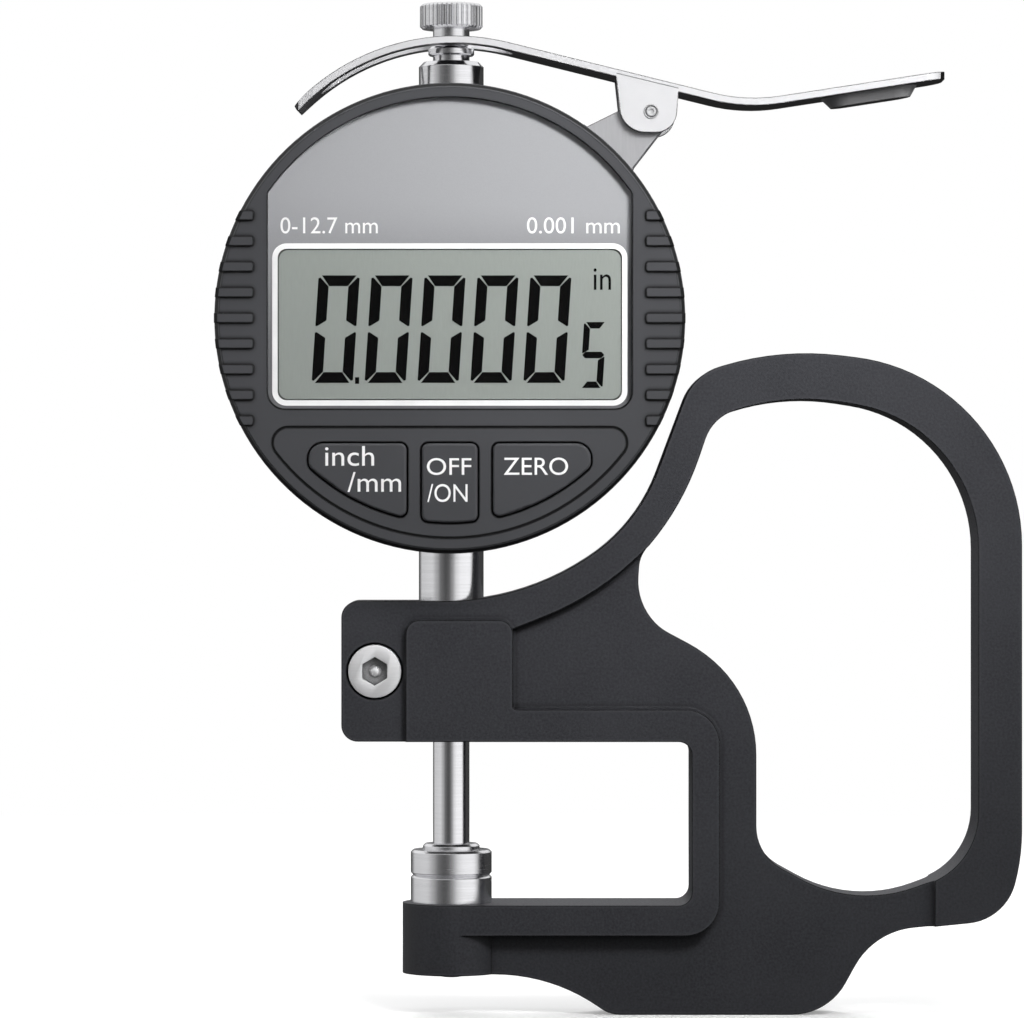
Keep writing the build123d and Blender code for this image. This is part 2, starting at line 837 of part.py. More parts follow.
def make_circuit_board():
    board = head_disc(cavity_r - board_gap)
    for x, z in board_screw_places():
        board -= at(x, z, Circle(board_screw_d / 2 + seat_gap))
    return plate(board, board_front, board_back)


def make_board_screws():
    screws = []
    for x, z in board_screw_places():
        shank_end = board_front - board_screw_l + screw_end_gap
        shank = plate(at(x, z, Circle(board_screw_d / 2)), shank_end, board_back + fuse)
        head = plate(at(x, z, Circle(board_screw_head_d / 2)), board_back, board_back + board_screw_head_h)
        screws.append(head + shank)
    return screws


def make_sensor_strip():
    return plate(at(0, sensor_z, Rectangle(sensor_w, sensor_l)), board_back, sensor_back)


def make_key_switches():
    switches = []
    for x, z in key_centres().values():
        base = plate(at(x, z, Circle(switch_d / 2)), board_front - switch_h / 2, board_front)
        cap = plate(at(x, z, Circle(switch_d / 3)), board_front - switch_h, board_front - switch_h / 2)
        switches.append(base + cap)
    return switches


def make_key(name):
    cap = plate(key_outlines(0)[name], face_y - key_raise, wall_y + key_flange_t)
    rim = cap.edges().group_by(Axis.Y)[0]
    cap = fillet(rim, min(edge_break, key_raise - seat_gap))
    flange = plate(key_outlines(key_gap + key_flange)[name], wall_y + seat_gap, wall_y + key_flange_t)
    x, z = key_centres()[name]
    post_end = board_front - switch_h - key_travel - seat_gap
    post = plate(at(x, z, Circle(key_post_d / 2)), wall_y, post_end)
    return cap + flange + post


# Sensor carriage and spring

def carrier_block():
    left = -rod_d / 2 - carrier_wall
    right = guide_x + guide_pin_d / 2 + carrier_side
    outline = RectangleRounded(right - left, carrier_h, carrier_corner)
    profile = at((left + right) / 2, carrier_z + carrier_h / 2, outline)
    return plate(profile, slider_back, rod_d / 2 + carrier_back)


def make_scale_carrier():
    block = carrier_block()
    block -= rod_piece(rod_d + 2 * seat_gap, carrier_z - past, carrier_z + carrier_h + past)
    block -= Pos(guide_x, 0, carrier_z - past) * Cylinder(
        guide_pin_d / 2 + running_gap, carrier_h + 2 * past, align=(Align.CENTER, Align.CENTER, Align.MIN))
    return block


def make_scale_slider():
    middle = carrier_z + carrier_h / 2
    return plate(at(0, middle, Rectangle(sensor_w, slider_l)), sensor_back + sensor_gap, slider_back)


def make_return_spring():
    low = carrier_z + carrier_h + spring_wire / 2
    high = guide_boss_high - spring_wire / 2
    path = Pos(0, 0, low) * Helix((high - low) / spring_turns, high - low, spring_r)
    start = path @ 0
    section = Plane(origin=start, z_dir=path % 0) * RegularPolygon(spring_wire / 2, 6)
    return sweep(section, path)


# Rear side

def make_rear_cover():
    cover = plate(head_disc(body_r), parting_y, back_y)
    cover = chamfer(cover.edges().group_by(Axis.Y)[-1], cover_bevel)
    hollow = head_disc(cavity_r) - at(0, battery_z, Circle(lid_d / 2 + lid_rim))
    cover -= plate(hollow, parting_y - past, lid_y - cover_floor)
    for x, z in cover_screw_places():
        cover += plate(at(x, z, Circle(cover_boss_d / 2)), parting_y, back_y - cover_boss_skin)
    cover -= plate(at(0, battery_z, Circle(battery_d / 2 + battery_gap)), parting_y - past, back_y)
    cover -= plate(at(0, battery_z, Circle(lid_d / 2 + seat_gap)), lid_y, back_y + past)
    cover -= plate(seal_ring(seal_section / 2), lid_y - seal_section, lid_y + past)
    for x, z in cover_screw_places():
        hole = at(x, z, Circle(cover_screw_d / 2 + seat_gap))
        cover -= plate(hole, parting_y - past, back_y + past)
        recess = at(x, z, Circle(cover_screw_head_d / 2 + seat_gap))
        cover -= plate(recess, back_y - cover_screw_head_h, back_y + past)
    return cover


def seal_ring(half):
    """Ring round the battery pocket, a distance to both sides of the seal's middle."""
    middle = battery_d / 2 + battery_gap + (lid_d - battery_d) / 4
    return at(0, battery_z, Circle(middle + half)) - at(0, battery_z, Circle(middle - half))


def make_cover_screws():
    screws = []
    for x, z in cover_screw_places():
        head = plate(at(x, z, Circle(cover_screw_head_d / 2)), back_y - cover_screw_head_h, back_y - seat_gap)
        cross = at(x, z, Rectangle(cross_l, cross_w) + Rectangle(cross_w, cross_l))
        slot = plate(cross, back_y - cross_deep, back_y + past)
        shank_end = parting_y - cover_screw_l + screw_end_gap
        shank = plate(at(x, z, Circle(cover_screw_d / 2)), shank_end, back_y - cover_screw_head_h + fuse)
        screws.append(head - slot + shank)
    return screws


def make_battery_lid():
    lid = plate(at(0, battery_z, Circle(lid_d / 2)), lid_y, back_y)
    lid = chamfer(lid.edges().group_by(Axis.Y)[-1], edge_break)
    slot = at(0, battery_z, SlotOverall(lid_slot_l, lid_slot_w))
    return lid - plate(slot, back_y - lid_slot_deep, back_y + past)


def make_lid_seal():
    return plate(seal_ring(seal_section / 2 - seat_gap), lid_y - seal_section + seat_gap, lid_y)


def make_battery():
    cell = plate(at(0, battery_z, Circle(battery_d / 2)), battery_front, battery_back)
    return chamfer(cell.edges().group_by(Axis.Y)[0], edge_break)


def make_battery_contacts():
    """Spring strip across the cell's front with two feet on the rim of the battery pocket."""
    strip_front = battery_front - contact_strip_t
    pocket_rim = at(0, battery_z, Circle(lid_d / 2 + lid_rim))
    outline = at(cell_contact_x, battery_z, Rectangle(contact_strip_w, lid_d)) & pocket_rim
    feet = outline - at(0, battery_z, Circle(battery_d / 2 + battery_gap))
    return plate(outline, strip_front, battery_front) + plate(feet, strip_front, parting_y)


# Lifting lever and its bracket

def arch_point(angle, radius):
    """Point of the arch at an angle right of its top."""
    return arch_x + radius * sin(radians(angle)), arch_z + radius * cos(radians(angle))


def lever_profile():
    """Side view of the strip: arch, sloping arm, valley and rising tail, one thickness all along."""
    def run(drop):
        """The strip's top line moved down by a distance."""
        start = arch_point(-tip_angle, arch_r - drop)
        bend = arch_point(arm_slope, arch_r - drop)
        top_bend = arch_point(arm_slope, arch_r)
        valley_top = (valley_x, top_bend[1] - tan(radians(arm_slope)) * (valley_x - top_bend[0]))
        split = radians((arm_slope + tail_slope) / 2)
        lean = radians((tail_slope - arm_slope) / 2)
        fall = drop / cos(split)
        valley = (valley_top[0] + fall * sin(lean), valley_top[1] - fall * cos(lean))
        tip_out = tip_straight * cos(radians(tip_angle))
        tip_down = tip_straight * sin(radians(tip_angle))
        start_out = (start[0] - tip_out, start[1] - tip_down)
        corner = meet(start, tip_angle, bend, -arm_slope)
        end = (tail_x, valley[1] + tan(radians(tail_slope)) * (tail_x - valley[0]))
        return start_out, corner, valley, end
    top = run(0)
    low = run(lever_t)
    upper = FilletPolyline(*top, radius=[arch_r, valley_r])
    lower = FilletPolyline(*low, radius=[arch_r - lever_t, valley_r + lever_t])
    return make_face([upper, lower, Line(top[0], low[0]), Line(top[-1], low[-1])]), top


def tail_plane(top):
    """Plane on the tail's top surface at the middle of the dish."""
    valley = top[2]
    z = valley[1] + tan(radians(tail_slope)) * (dish_x - valley[0])
    slope = radians(tail_slope)
    return Plane(origin=(dish_x, 0, z), x_dir=(cos(slope), 0, sin(slope)), z_dir=(-sin(slope), 0, cos(slope)))


def make_lever():
    profile, top = lever_profile()
    half = lever_w / 2
    strip = plate(profile, -half, half)
    left = top[0][0]
    plan = Pos((left + tail_x) / 2, 0) * RectangleRounded(tail_x - left, lever_w, tip_corner)
    under = pivot_z - arch_r
    strip &= Pos(0, 0, under) * extrude(plan, amount=2 * arch_r)
    slot_mid = (slot_left_x + slot_right_x) / 2
    slot = Pos(slot_mid, 0) * SlotOverall(slot_right_x - slot_left_x, slot_w)
    strip -= Pos(0, 0, under) * extrude(slot, amount=2 * arch_r)
    surface = tail_plane(top)
    outline = SlotOverall(dish_l, dish_w)
    dish = extrude(surface.offset(-lever_t) * outline, amount=-dish_deep, taper=dish_angle)
    bowl = extrude(surface * outline, amount=-dish_deep, taper=dish_angle)
    strip = strip + dish - bowl
    slope = tan(radians(arm_slope))
    left_top = arm_z - slope * (ear_left_x - arm_x) - lever_t / 2
    right_top = arm_z - slope * (ear_right_x - arm_x) - lever_t / 2
    low = pivot_z - ear_low
    ear = rounded([
        (ear_left_x, left_top, 0), (ear_right_x, right_top, 0),
        (ear_right_x - ear_inset / 2, low, ear_right_r), (ear_left_x + ear_inset, low, ear_left_r)])
    ear -= at(pivot_x, pivot_z, Circle(pin_d / 2 + running_gap))
    strip += plate(ear, -half, -half + ear_t)
    strip += plate(ear, half - ear_t, half)
    return strip


def bracket_web():
    """Side view of the bracket's two webs, from the rim to the pin."""
    low = polar(bracket_low_angle, body_r)
    high = polar(bracket_high_angle, body_r)
    to_pin = degrees(atan2(pivot_z - body_z, pivot_x))
    nose_x = pivot_x + bracket_nose_r * cos(radians(to_pin))
    nose_z = pivot_z + bracket_nose_r * sin(radians(to_pin))
    cap = (nose_x, nose_z)
    high_corner = meet(high, bracket_left_slope, cap, to_pin - 90)
    low_corner = meet(low, bracket_right_slope, cap, to_pin + 90)
    root = polar((bracket_low_angle + bracket_high_angle) / 2, body_r - side_wall)
    web = rounded([
        (*high, 0), (*high_corner, bracket_nose_corner), (*low_corner, bracket_nose_corner), (*low, 0),
        (*root, 0)])
    return web - head_disc(body_r + seat_gap)


def make_lever_bracket():
    web = bracket_web() - at(pivot_x, pivot_z, Circle(pin_d / 2 + seat_gap))
    far_low = polar(bracket_low_angle, 2 * body_r)
    far_high = polar(bracket_high_angle, 2 * body_r)
    sector = rounded([(0, body_z, 0), (*far_low, 0), (*far_high, 0)])
    base = (head_disc(body_r + seat_gap + bracket_t) - head_disc(body_r + seat_gap)) & sector
    inner = bracket_half_w - bracket_t
    bracket = plate(base, -bracket_half_w, bracket_half_w)
    bracket += plate(web, -bracket_half_w, -inner)
    bracket += plate(web, inner, bracket_half_w)
    for angle in bracket_screw_angles():
        bracket -= rim_pin(angle, bracket_screw_d / 2 + seat_gap, body_r - past, body_r + bracket_t + past)
    return bracket


def make_bracket_screws():
    screws = []
    seat = body_r + seat_gap + bracket_t
    for angle in bracket_screw_angles():
        head = rim_pin(angle, bracket_screw_head_d / 2, seat, seat + bracket_screw_head_h)
        shank = rim_pin(angle, bracket_screw_d / 2, cavity_r + screw_end_gap, seat + fuse)
        screws.append(head + shank)
    return screws


def make_pivot_pin():
    ear_face = lever_w / 2 + seat_gap
    end = ear_face + pin_rivet_h
    pin = plate(at(pivot_x, pivot_z, Circle(pin_d / 2)), -end, end)
    for front, back in ((-end, -ear_face), (ear_face, end)):
        pin += plate(at(pivot_x, pivot_z, Circle(pin_rivet_d / 2)), front, back)
    return pin


pieces = {
    "frame": make_frame(),
    "clamp_screw": make_clamp_screw(),
    "anvil": make_anvil(),
    "anvil_screw": make_anvil_screw(),
    "contact_point": make_contact_point(),
    "spindle": make_spindle(),
    "stem": make_stem(),
    "stem_bushing": make_stem_bushing(),
    "upper_bushing": make_upper_bushing(),
    "lift_collar": make_lift_collar(),
    "lifting_knob": make_lifting_knob(),
    "front_housing": make_front_housing(),
    "guide_pin": make_guide_pin(),
    "housing_gasket": make_housing_gasket(),
    "window_panel": make_window_panel(),
    "lcd_panel": make_lcd_panel(),
    "lcd_holder": make_lcd_holder(),
    "contact_strip": make_contact_strip(),
    "circuit_board": make_circuit_board(),
    "board_screws": Compound(make_board_screws()),
    "sensor_strip": make_sensor_strip(),
    "key_switches": Compound(make_key_switches()),
    "button_unit": make_key("button_unit"),
    "button_power": make_key("button_power"),
    "button_zero": make_key("button_zero"),
    "scale_carrier": make_scale_carrier(),
    "scale_slider": make_scale_slider(),
    "return_spring": make_return_spring(),
    "rear_cover": make_rear_cover(),
    "cover_screws": Compound(make_cover_screws()),
    "battery_lid": make_battery_lid(),
    "lid_seal": make_lid_seal(),
    "battery": make_battery(),
    "battery_contacts": make_battery_contacts(),
    "lever": make_lever(),
    "lever_bracket": make_lever_bracket(),
    "bracket_screws": Compound(make_bracket_screws()),
    "pivot_pin": make_pivot_pin(),
}

os.makedirs("parts", exist_ok=True)
for name, shape in pieces.items():
    save(name, shape)
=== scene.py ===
import json
from math import pi, radians
import bpy
from mathutils import Matrix, Vector

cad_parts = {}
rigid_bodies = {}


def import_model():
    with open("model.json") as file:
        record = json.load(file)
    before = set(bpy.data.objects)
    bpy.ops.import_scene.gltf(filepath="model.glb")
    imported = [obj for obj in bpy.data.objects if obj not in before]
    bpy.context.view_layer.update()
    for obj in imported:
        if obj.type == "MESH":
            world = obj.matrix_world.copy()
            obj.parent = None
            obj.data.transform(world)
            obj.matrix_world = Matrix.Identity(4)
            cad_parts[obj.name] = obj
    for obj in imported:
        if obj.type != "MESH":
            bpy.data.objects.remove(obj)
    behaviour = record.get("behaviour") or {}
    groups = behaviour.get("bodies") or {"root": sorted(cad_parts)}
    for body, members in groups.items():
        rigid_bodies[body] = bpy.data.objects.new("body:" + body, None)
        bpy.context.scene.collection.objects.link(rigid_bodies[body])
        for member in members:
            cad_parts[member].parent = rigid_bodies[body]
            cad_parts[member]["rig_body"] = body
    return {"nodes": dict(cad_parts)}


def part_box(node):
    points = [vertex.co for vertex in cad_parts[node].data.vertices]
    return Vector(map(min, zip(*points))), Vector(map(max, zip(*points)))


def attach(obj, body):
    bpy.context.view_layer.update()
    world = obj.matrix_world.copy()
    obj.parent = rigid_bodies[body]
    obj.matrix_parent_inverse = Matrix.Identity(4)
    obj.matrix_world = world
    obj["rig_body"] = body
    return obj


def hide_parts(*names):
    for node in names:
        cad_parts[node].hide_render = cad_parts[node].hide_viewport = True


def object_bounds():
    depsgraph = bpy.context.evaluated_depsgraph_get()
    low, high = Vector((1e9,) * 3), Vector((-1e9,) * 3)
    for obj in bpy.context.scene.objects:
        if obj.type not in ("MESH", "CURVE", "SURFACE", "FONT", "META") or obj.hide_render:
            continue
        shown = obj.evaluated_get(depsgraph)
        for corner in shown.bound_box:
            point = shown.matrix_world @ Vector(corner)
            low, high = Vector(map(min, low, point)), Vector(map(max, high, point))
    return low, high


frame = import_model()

mm = 0.001
tiny = 0.01 * mm
nodes = frame["nodes"]
cadLow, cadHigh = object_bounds()
bpy.ops.object.select_all(action="DESELECT")
print("frame loaded:", len(nodes), "pieces")

# The photographer stood about 0.6 m off, straight in front of the head
camera = {
    "distance": 0.6,
    "besideRod": 7.5 * mm,
    "aboveAnvil": 45.09 * mm,
    "pixelsPerMm": 8.1,         # in the rod's plane
    "imageWidth": 1024,
    "sensor": 36.0,
    "nearest": 0.01,
}


def makeCamera():
    pixelsPerMetre = camera["pixelsPerMm"] / mm
    view = camera["imageWidth"] / pixelsPerMetre
    bpy.ops.object.camera_add(
        location=(camera["besideRod"], -camera["distance"], camera["aboveAnvil"]),
        rotation=(radians(90), 0, 0))
    eye = bpy.context.object
    eye.data.lens = camera["distance"] / view * camera["sensor"]
    eye.data.sensor_width = camera["sensor"]
    eye.data.clip_start = camera["nearest"]
    bpy.context.scene.camera = eye


middleAim = (0.02, 0, 0.05)
headAim = (0.02, 0, 0.088)
lamps = {
    # place, size, watts, aim, spread in degrees
    "keyLamp": ((0.1, -0.2, 0.17), (0.1, 0.08), 0.105, headAim, 62),
    "frontLamp": ((0.12, -0.62, 0.3), (0.4, 0.4), 0.38, middleAim, 180),
    "leftLamp": ((-0.6, -0.28, 0.2), (0.3, 0.6), 0.4, middleAim, 180),
    "topLamp": ((0.05, -0.1, 0.75), (0.7, 0.5), 2.3, middleAim, 180),
    "backLamp": ((-0.1, 0.7, 0.4), (0.6, 0.5), 7.5, middleAim, 180),
}


def addLamps():
    for name, (place, size, watts, aim, spread) in lamps.items():
        bpy.ops.object.light_add(type="AREA", location=place)
        lamp = bpy.context.object
        lamp.name = name
        toAim = Vector(aim) - Vector(place)
        lamp.rotation_euler = toAim.to_track_quat("-Z", "Y").to_euler()
        lamp.data.shape = "RECTANGLE"
        lamp.data.size, lamp.data.size_y = size
        lamp.data.energy = watts
        lamp.data.spread = radians(spread)
        lamp.visible_glossy = False
        lamp.visible_camera = False


def link(tree, start, end):
    tree.links.new(start, end)


# The inputs of a Math node are sockets or numbers
def mathNode(tree, operation, first, second=None):
    node = tree.nodes.new("ShaderNodeMath")
    node.operation = operation
    for i, value in enumerate((first, second)):
        if value is None:
            continue
        if isinstance(value, (int, float)):
            node.inputs[i].default_value = value
        else:
            link(tree, value, node.inputs[i])
    return node.outputs[0]


def splitNode(tree, vector):    # x, y and z of a vector
    split = tree.nodes.new("ShaderNodeSeparateXYZ")
    link(tree, vector, split.inputs[0])
    return split.outputs


def lengthNode(tree, first, second):
    squares = (mathNode(tree, "POWER", value, 2.0) for value in (first, second))
    return mathNode(tree, "SQRT", mathNode(tree, "ADD", *squares))


def rampNode(tree, fac, stops):    # a grey ramp from a rising list of (position, grey)
    node = tree.nodes.new("ShaderNodeValToRGB")
    ramp = node.color_ramp
    ramp.interpolation = "EASE"
    while len(ramp.elements) < len(stops):
        ramp.elements.new(0.5)
    for element, (position, grey) in zip(ramp.elements, stops):
        element.position = position
        element.color = (grey, grey, grey, 1)
    link(tree, fac, node.inputs[0])
    return node.outputs[0]


def mixShader(tree, fac, first, second):
    node = tree.nodes.new("ShaderNodeMixShader")
    for socket, start in zip(node.inputs, (fac, first, second)):
        link(tree, start, socket)
    return node.outputs[0]


def tintNode(tree, fac, first, second):
    node = tree.nodes.new("ShaderNodeMixRGB")
    link(tree, fac, node.inputs[0])
    for i, colour in enumerate((first, second), 1):
        if isinstance(colour, tuple):
            node.inputs[i].default_value = (*colour, 1)
        else:
            link(tree, colour, node.inputs[i])
    return node.outputs[0]


def seenDirectly(tree, path):    # 1 for what the camera sees, also through glass
    outputs = path.outputs
    return mathNode(tree, "MAXIMUM", outputs["Is Camera Ray"], outputs["Is Transmission Ray"])


studio = {
    "fill": 0.13,               # what dull surfaces get from all round
    # what shiny surfaces see by direction: 0.5 is towards the camera, 0.75 to the right
    "bands": [
        (0.0, 0.05), (0.09, 0.12), (0.15, 0.7), (0.3, 0.77), (0.36, 0.45), (0.4, 0.16),
        (0.45, 0.085), (0.48, 0.12), (0.51, 0.33), (0.56, 0.9), (0.6, 1.1), (0.69, 1.15),
        (0.73, 0.6), (0.765, 0.06), (1.0, 0.05)],
    "overhead": 1.0,
    "overheadFade": [(0.12, 0.0), (0.4, 1.0)],      # by the upward part of the direction
    "below": 0.06,
    "belowFade": [(0.3, 0.0), (0.6, 1.0)],
}


def makeStudio():
    world = bpy.data.worlds.new("studio")
    bpy.context.scene.world = world
    world.use_nodes = True
    tree = world.node_tree
    tree.nodes.clear()
    out = tree.nodes.new("ShaderNodeOutputWorld")
    shade = tree.nodes.new("ShaderNodeBackground")
    coords = tree.nodes.new("ShaderNodeTexCoord")
    x, y, z = splitNode(tree, coords.outputs["Generated"])
    turn = mathNode(tree, "ARCTAN2", x, mathNode(tree, "MULTIPLY", y, -1.0))
    around = mathNode(tree, "ADD", mathNode(tree, "DIVIDE", turn, 2 * pi), 0.5)
    bands = rampNode(tree, around, studio["bands"])
    high = rampNode(tree, z, studio["overheadFade"])
    deep = rampNode(tree, mathNode(tree, "MULTIPLY", z, -1.0), studio["belowFade"])
    lower = tintNode(tree, deep, bands, (studio["below"],) * 3)
    upper = tintNode(tree, high, lower, (studio["overhead"],) * 3)
    path = tree.nodes.new("ShaderNodeLightPath")
    shiny = tintNode(tree, path.outputs["Is Glossy Ray"], (studio["fill"],) * 3, upper)
    link(tree, tintNode(tree, seenDirectly(tree, path), shiny, (1, 1, 1)), shade.inputs[0])
    link(tree, shade.outputs[0], out.inputs[0])


def emptyMaterial(name):
    material = bpy.data.materials.new(name)
    material.use_nodes = True
    tree = material.node_tree
    tree.nodes.clear()
    return material, tree, tree.nodes.new("ShaderNodeOutputMaterial")


floor = {
    "size": 6.0,
    "gap": 0.05 * mm,
    "colour": 0.8,
    "bounce": 0.12,             # what the object's underside gets back
    "glow": 0.3,
    "plainFrom": 0.12,          # fades to plain white between these distances
    "plainTo": 0.4,
}


def makeFloor():
    place = (0, 0, cadLow.z - floor["gap"])
    bpy.ops.mesh.primitive_plane_add(size=floor["size"], location=place)
    ground = bpy.context.object
    ground.name = "floor"
    material, tree, out = emptyMaterial("paleFloor")
    coords = tree.nodes.new("ShaderNodeTexCoord")
    reach = tree.nodes.new("ShaderNodeVectorMath")
    reach.operation = "LENGTH"
    link(tree, coords.outputs["Object"], reach.inputs[0])
    scaled = mathNode(tree, "DIVIDE", reach.outputs["Value"], floor["plainTo"])
    far = rampNode(tree, scaled, [(floor["plainFrom"] / floor["plainTo"], 0.0), (1.0, 1.0)])
    diffuse = tree.nodes.new("ShaderNodeBsdfDiffuse")
    diffuse.inputs[0].default_value = (floor["colour"],) * 3 + (1,)
    glow = tree.nodes.new("ShaderNodeEmission")
    glow.inputs[1].default_value = floor["glow"]
    both = tree.nodes.new("ShaderNodeAddShader")
    link(tree, diffuse.outputs[0], both.inputs[0])
    link(tree, glow.outputs[0], both.inputs[1])
    white = tree.nodes.new("ShaderNodeEmission")
    fade = mixShader(tree, far, both.outputs[0], white.outputs[0])
    dull = tree.nodes.new("ShaderNodeBsdfDiffuse")
    dull.inputs[0].default_value = (floor["bounce"],) * 3 + (1,)
    path = tree.nodes.new("ShaderNodeLightPath")
    seen = mixShader(tree, seenDirectly(tree, path), dull.outputs[0], fade)
    # shiny surfaces see the studio through the floor
    clear = tree.nodes.new("ShaderNodeBsdfTransparent")
    whole = mixShader(tree, path.outputs["Is Glossy Ray"], seen, clear.outputs[0])
    link(tree, whole, out.inputs[0])
    ground.data.materials.append(material)


# A material with a Principled shader; returns the material, its tree and the shader
def startFinish(name, colour, metallic=0.0, roughness=0.5, **sockets):
    material, tree, out = emptyMaterial(name)
    shader = tree.nodes.new("ShaderNodeBsdfPrincipled")
    shader.inputs["Base Color"].default_value = (*colour, 1)
    shader.inputs["Metallic"].default_value = metallic
    shader.inputs["Roughness"].default_value = roughness
    for socket, value in sockets.items():
        shader.inputs[socket.replace("_", " ")].default_value = value
    link(tree, shader.outputs[0], out.inputs[0])
    return material, tree, shader


def objectCoords(tree, stretch=(1, 1, 1)):
    coords = tree.nodes.new("ShaderNodeTexCoord")
    mapping = tree.nodes.new("ShaderNodeMapping")
    mapping.inputs["Scale"].default_value = stretch
    link(tree, coords.outputs["Object"], mapping.inputs[0])
    return mapping.outputs[0]


def noiseNode(tree, vector, scale, detail=2.0, roughness=0.5):
    node = tree.nodes.new("ShaderNodeTexNoise")
    node.inputs["Scale"].default_value = scale
    node.inputs["Detail"].default_value = detail
    node.inputs["Roughness"].default_value = roughness
    link(tree, vector, node.inputs["Vector"])
    return node.outputs[0]


# The usual input range is that of a noise
def rangeNode(tree, value, low, high, fromLow=0.3, fromHigh=0.7):
    node = tree.nodes.new("ShaderNodeMapRange")
    link(tree, value, node.inputs[0])
    for i, number in enumerate((fromLow, fromHigh, low, high), 1):
        node.inputs[i].default_value = number
    return node.outputs[0]


def bevelNode(tree, radius):
    node = tree.nodes.new("ShaderNodeBevel")
    node.inputs["Radius"].default_value = radius
    return node


# Relief in metres; with an edge radius, sharp edges also read as slightly rounded
def bumpNode(tree, height, distance, strength, edgeRadius=None):
    bump = tree.nodes.new("ShaderNodeBump")
    bump.inputs["Strength"].default_value = strength
    bump.inputs["Distance"].default_value = distance
    link(tree, height, bump.inputs["Height"])
    if edgeRadius:
        link(tree, bevelNode(tree, edgeRadius).outputs[0], bump.inputs["Normal"])
    return bump.outputs[0]


raySamples = 8                  # of the edge and hollow nodes


def edgeNode(tree, radius, low=0.01, high=0.1):    # 1 along sharp edges, 0 away from them
    edge = bevelNode(tree, radius)
    edge.samples = raySamples
    flat = tree.nodes.new("ShaderNodeNewGeometry")
    match = tree.nodes.new("ShaderNodeVectorMath")
    match.operation = "DOT_PRODUCT"
    link(tree, edge.outputs[0], match.inputs[0])
    link(tree, flat.outputs["Normal"], match.inputs[1])
    turned = mathNode(tree, "SUBTRACT", 1.0, match.outputs["Value"])
    return rangeNode(tree, turned, 0.0, 1.0, low, high)


# 1 in corners, or along ridges if inside
def hollowNode(tree, reach, low=0.55, high=0.95, inside=False):
    shade = tree.nodes.new("ShaderNodeAmbientOcclusion")
    shade.samples = raySamples
    shade.only_local = True
    shade.inside = inside
    shade.inputs["Distance"].default_value = reach
    return rangeNode(tree, shade.outputs["AO"], 1.0, 0.0, low, high)


# The coating also carries painted shade in creases, painted dark lines along edges and a painted
# highlight along ridges
def castingFinish():    # black fine-grained coating on the hand frame
    look = {
        "dark": (0.028, 0.0286, 0.0325),
        "light": (0.037, 0.0377, 0.0425),
        "speck": (0.066, 0.067, 0.075),
        "speckShare": 0.5,
        # painted highlight along ridges, and how much of it is laid on
        "ridgeHighlight": (0.09, 0.092, 0.1),
        "ridgeHighlightShare": 0.3,
        # painted shade in creases
        "creaseShade": (0.004, 0.004, 0.0045),
        # painted shade: dark line along sharp edges
        "edge": (0.002, 0.002, 0.0022),
        "grain": 3200,
        "cloud": 90,
        "ridgeReach": 0.5 * mm,
        "ridgeRange": (0.6, 0.95),
        "creaseReach": 0.9 * mm,
        "edgeRadius": 0.3 * mm,
        "softEdge": 0.28 * mm,
        "roughness": (0.42, 0.6),
        "relief": 0.03 * mm,
        "strength": 0.8,
    }
    material, tree, shader = startFinish(
        "blackGrainCoating", look["dark"], roughness=0.5, Specular_IOR_Level=0.15)
    place = objectCoords(tree)
    grain = noiseNode(tree, place, look["grain"], 3.0, 0.6)
    cloud = noiseNode(tree, place, look["cloud"], 3.0)
    tint = tintNode(tree, rangeNode(tree, cloud, 0.0, 1.0), look["dark"], look["light"])
    speckle = rangeNode(tree, grain, 0.0, look["speckShare"])
    tint = tintNode(tree, speckle, tint, look["speck"])
    # painted highlight along ridges
    ridge = hollowNode(tree, look["ridgeReach"], *look["ridgeRange"], inside=True)
    tint = tintNode(tree, mathNode(tree, "MULTIPLY", ridge, look["ridgeHighlightShare"]), tint, look["ridgeHighlight"])
    # painted shade in creases and corners
    tint = tintNode(tree, hollowNode(tree, look["creaseReach"]), tint, look["creaseShade"])
    # painted shade: dark line along sharp edges
    tint = tintNode(tree, edgeNode(tree, look["edgeRadius"]), tint, look["edge"])
    link(tree, tint, shader.inputs["Base Color"])
    link(tree, rangeNode(tree, grain, *look["roughness"]), shader.inputs["Roughness"])
    relief = bumpNode(tree, grain, look["relief"], look["strength"], look["softEdge"])
    link(tree, relief, shader.inputs["Normal"])
    return material


# Painted shade: the chamfer round the face is painted black outside the radius and in front of the
# depth
rimShade = {"middle": (0, 68.1 * mm), "radius": 27.98 * mm, "depth": -14.0 * mm}


def rimShadeMask(tree):
    x, y, z = splitNode(tree, objectCoords(tree))
    fromX = mathNode(tree, "SUBTRACT", x, rimShade["middle"][0])
    fromZ = mathNode(tree, "SUBTRACT", z, rimShade["middle"][1])
    outer = mathNode(tree, "GREATER_THAN", lengthNode(tree, fromX, fromZ), rimShade["radius"])
    front = mathNode(tree, "LESS_THAN", y, rimShade["depth"])
    return mathNode(tree, "MULTIPLY", outer, front)
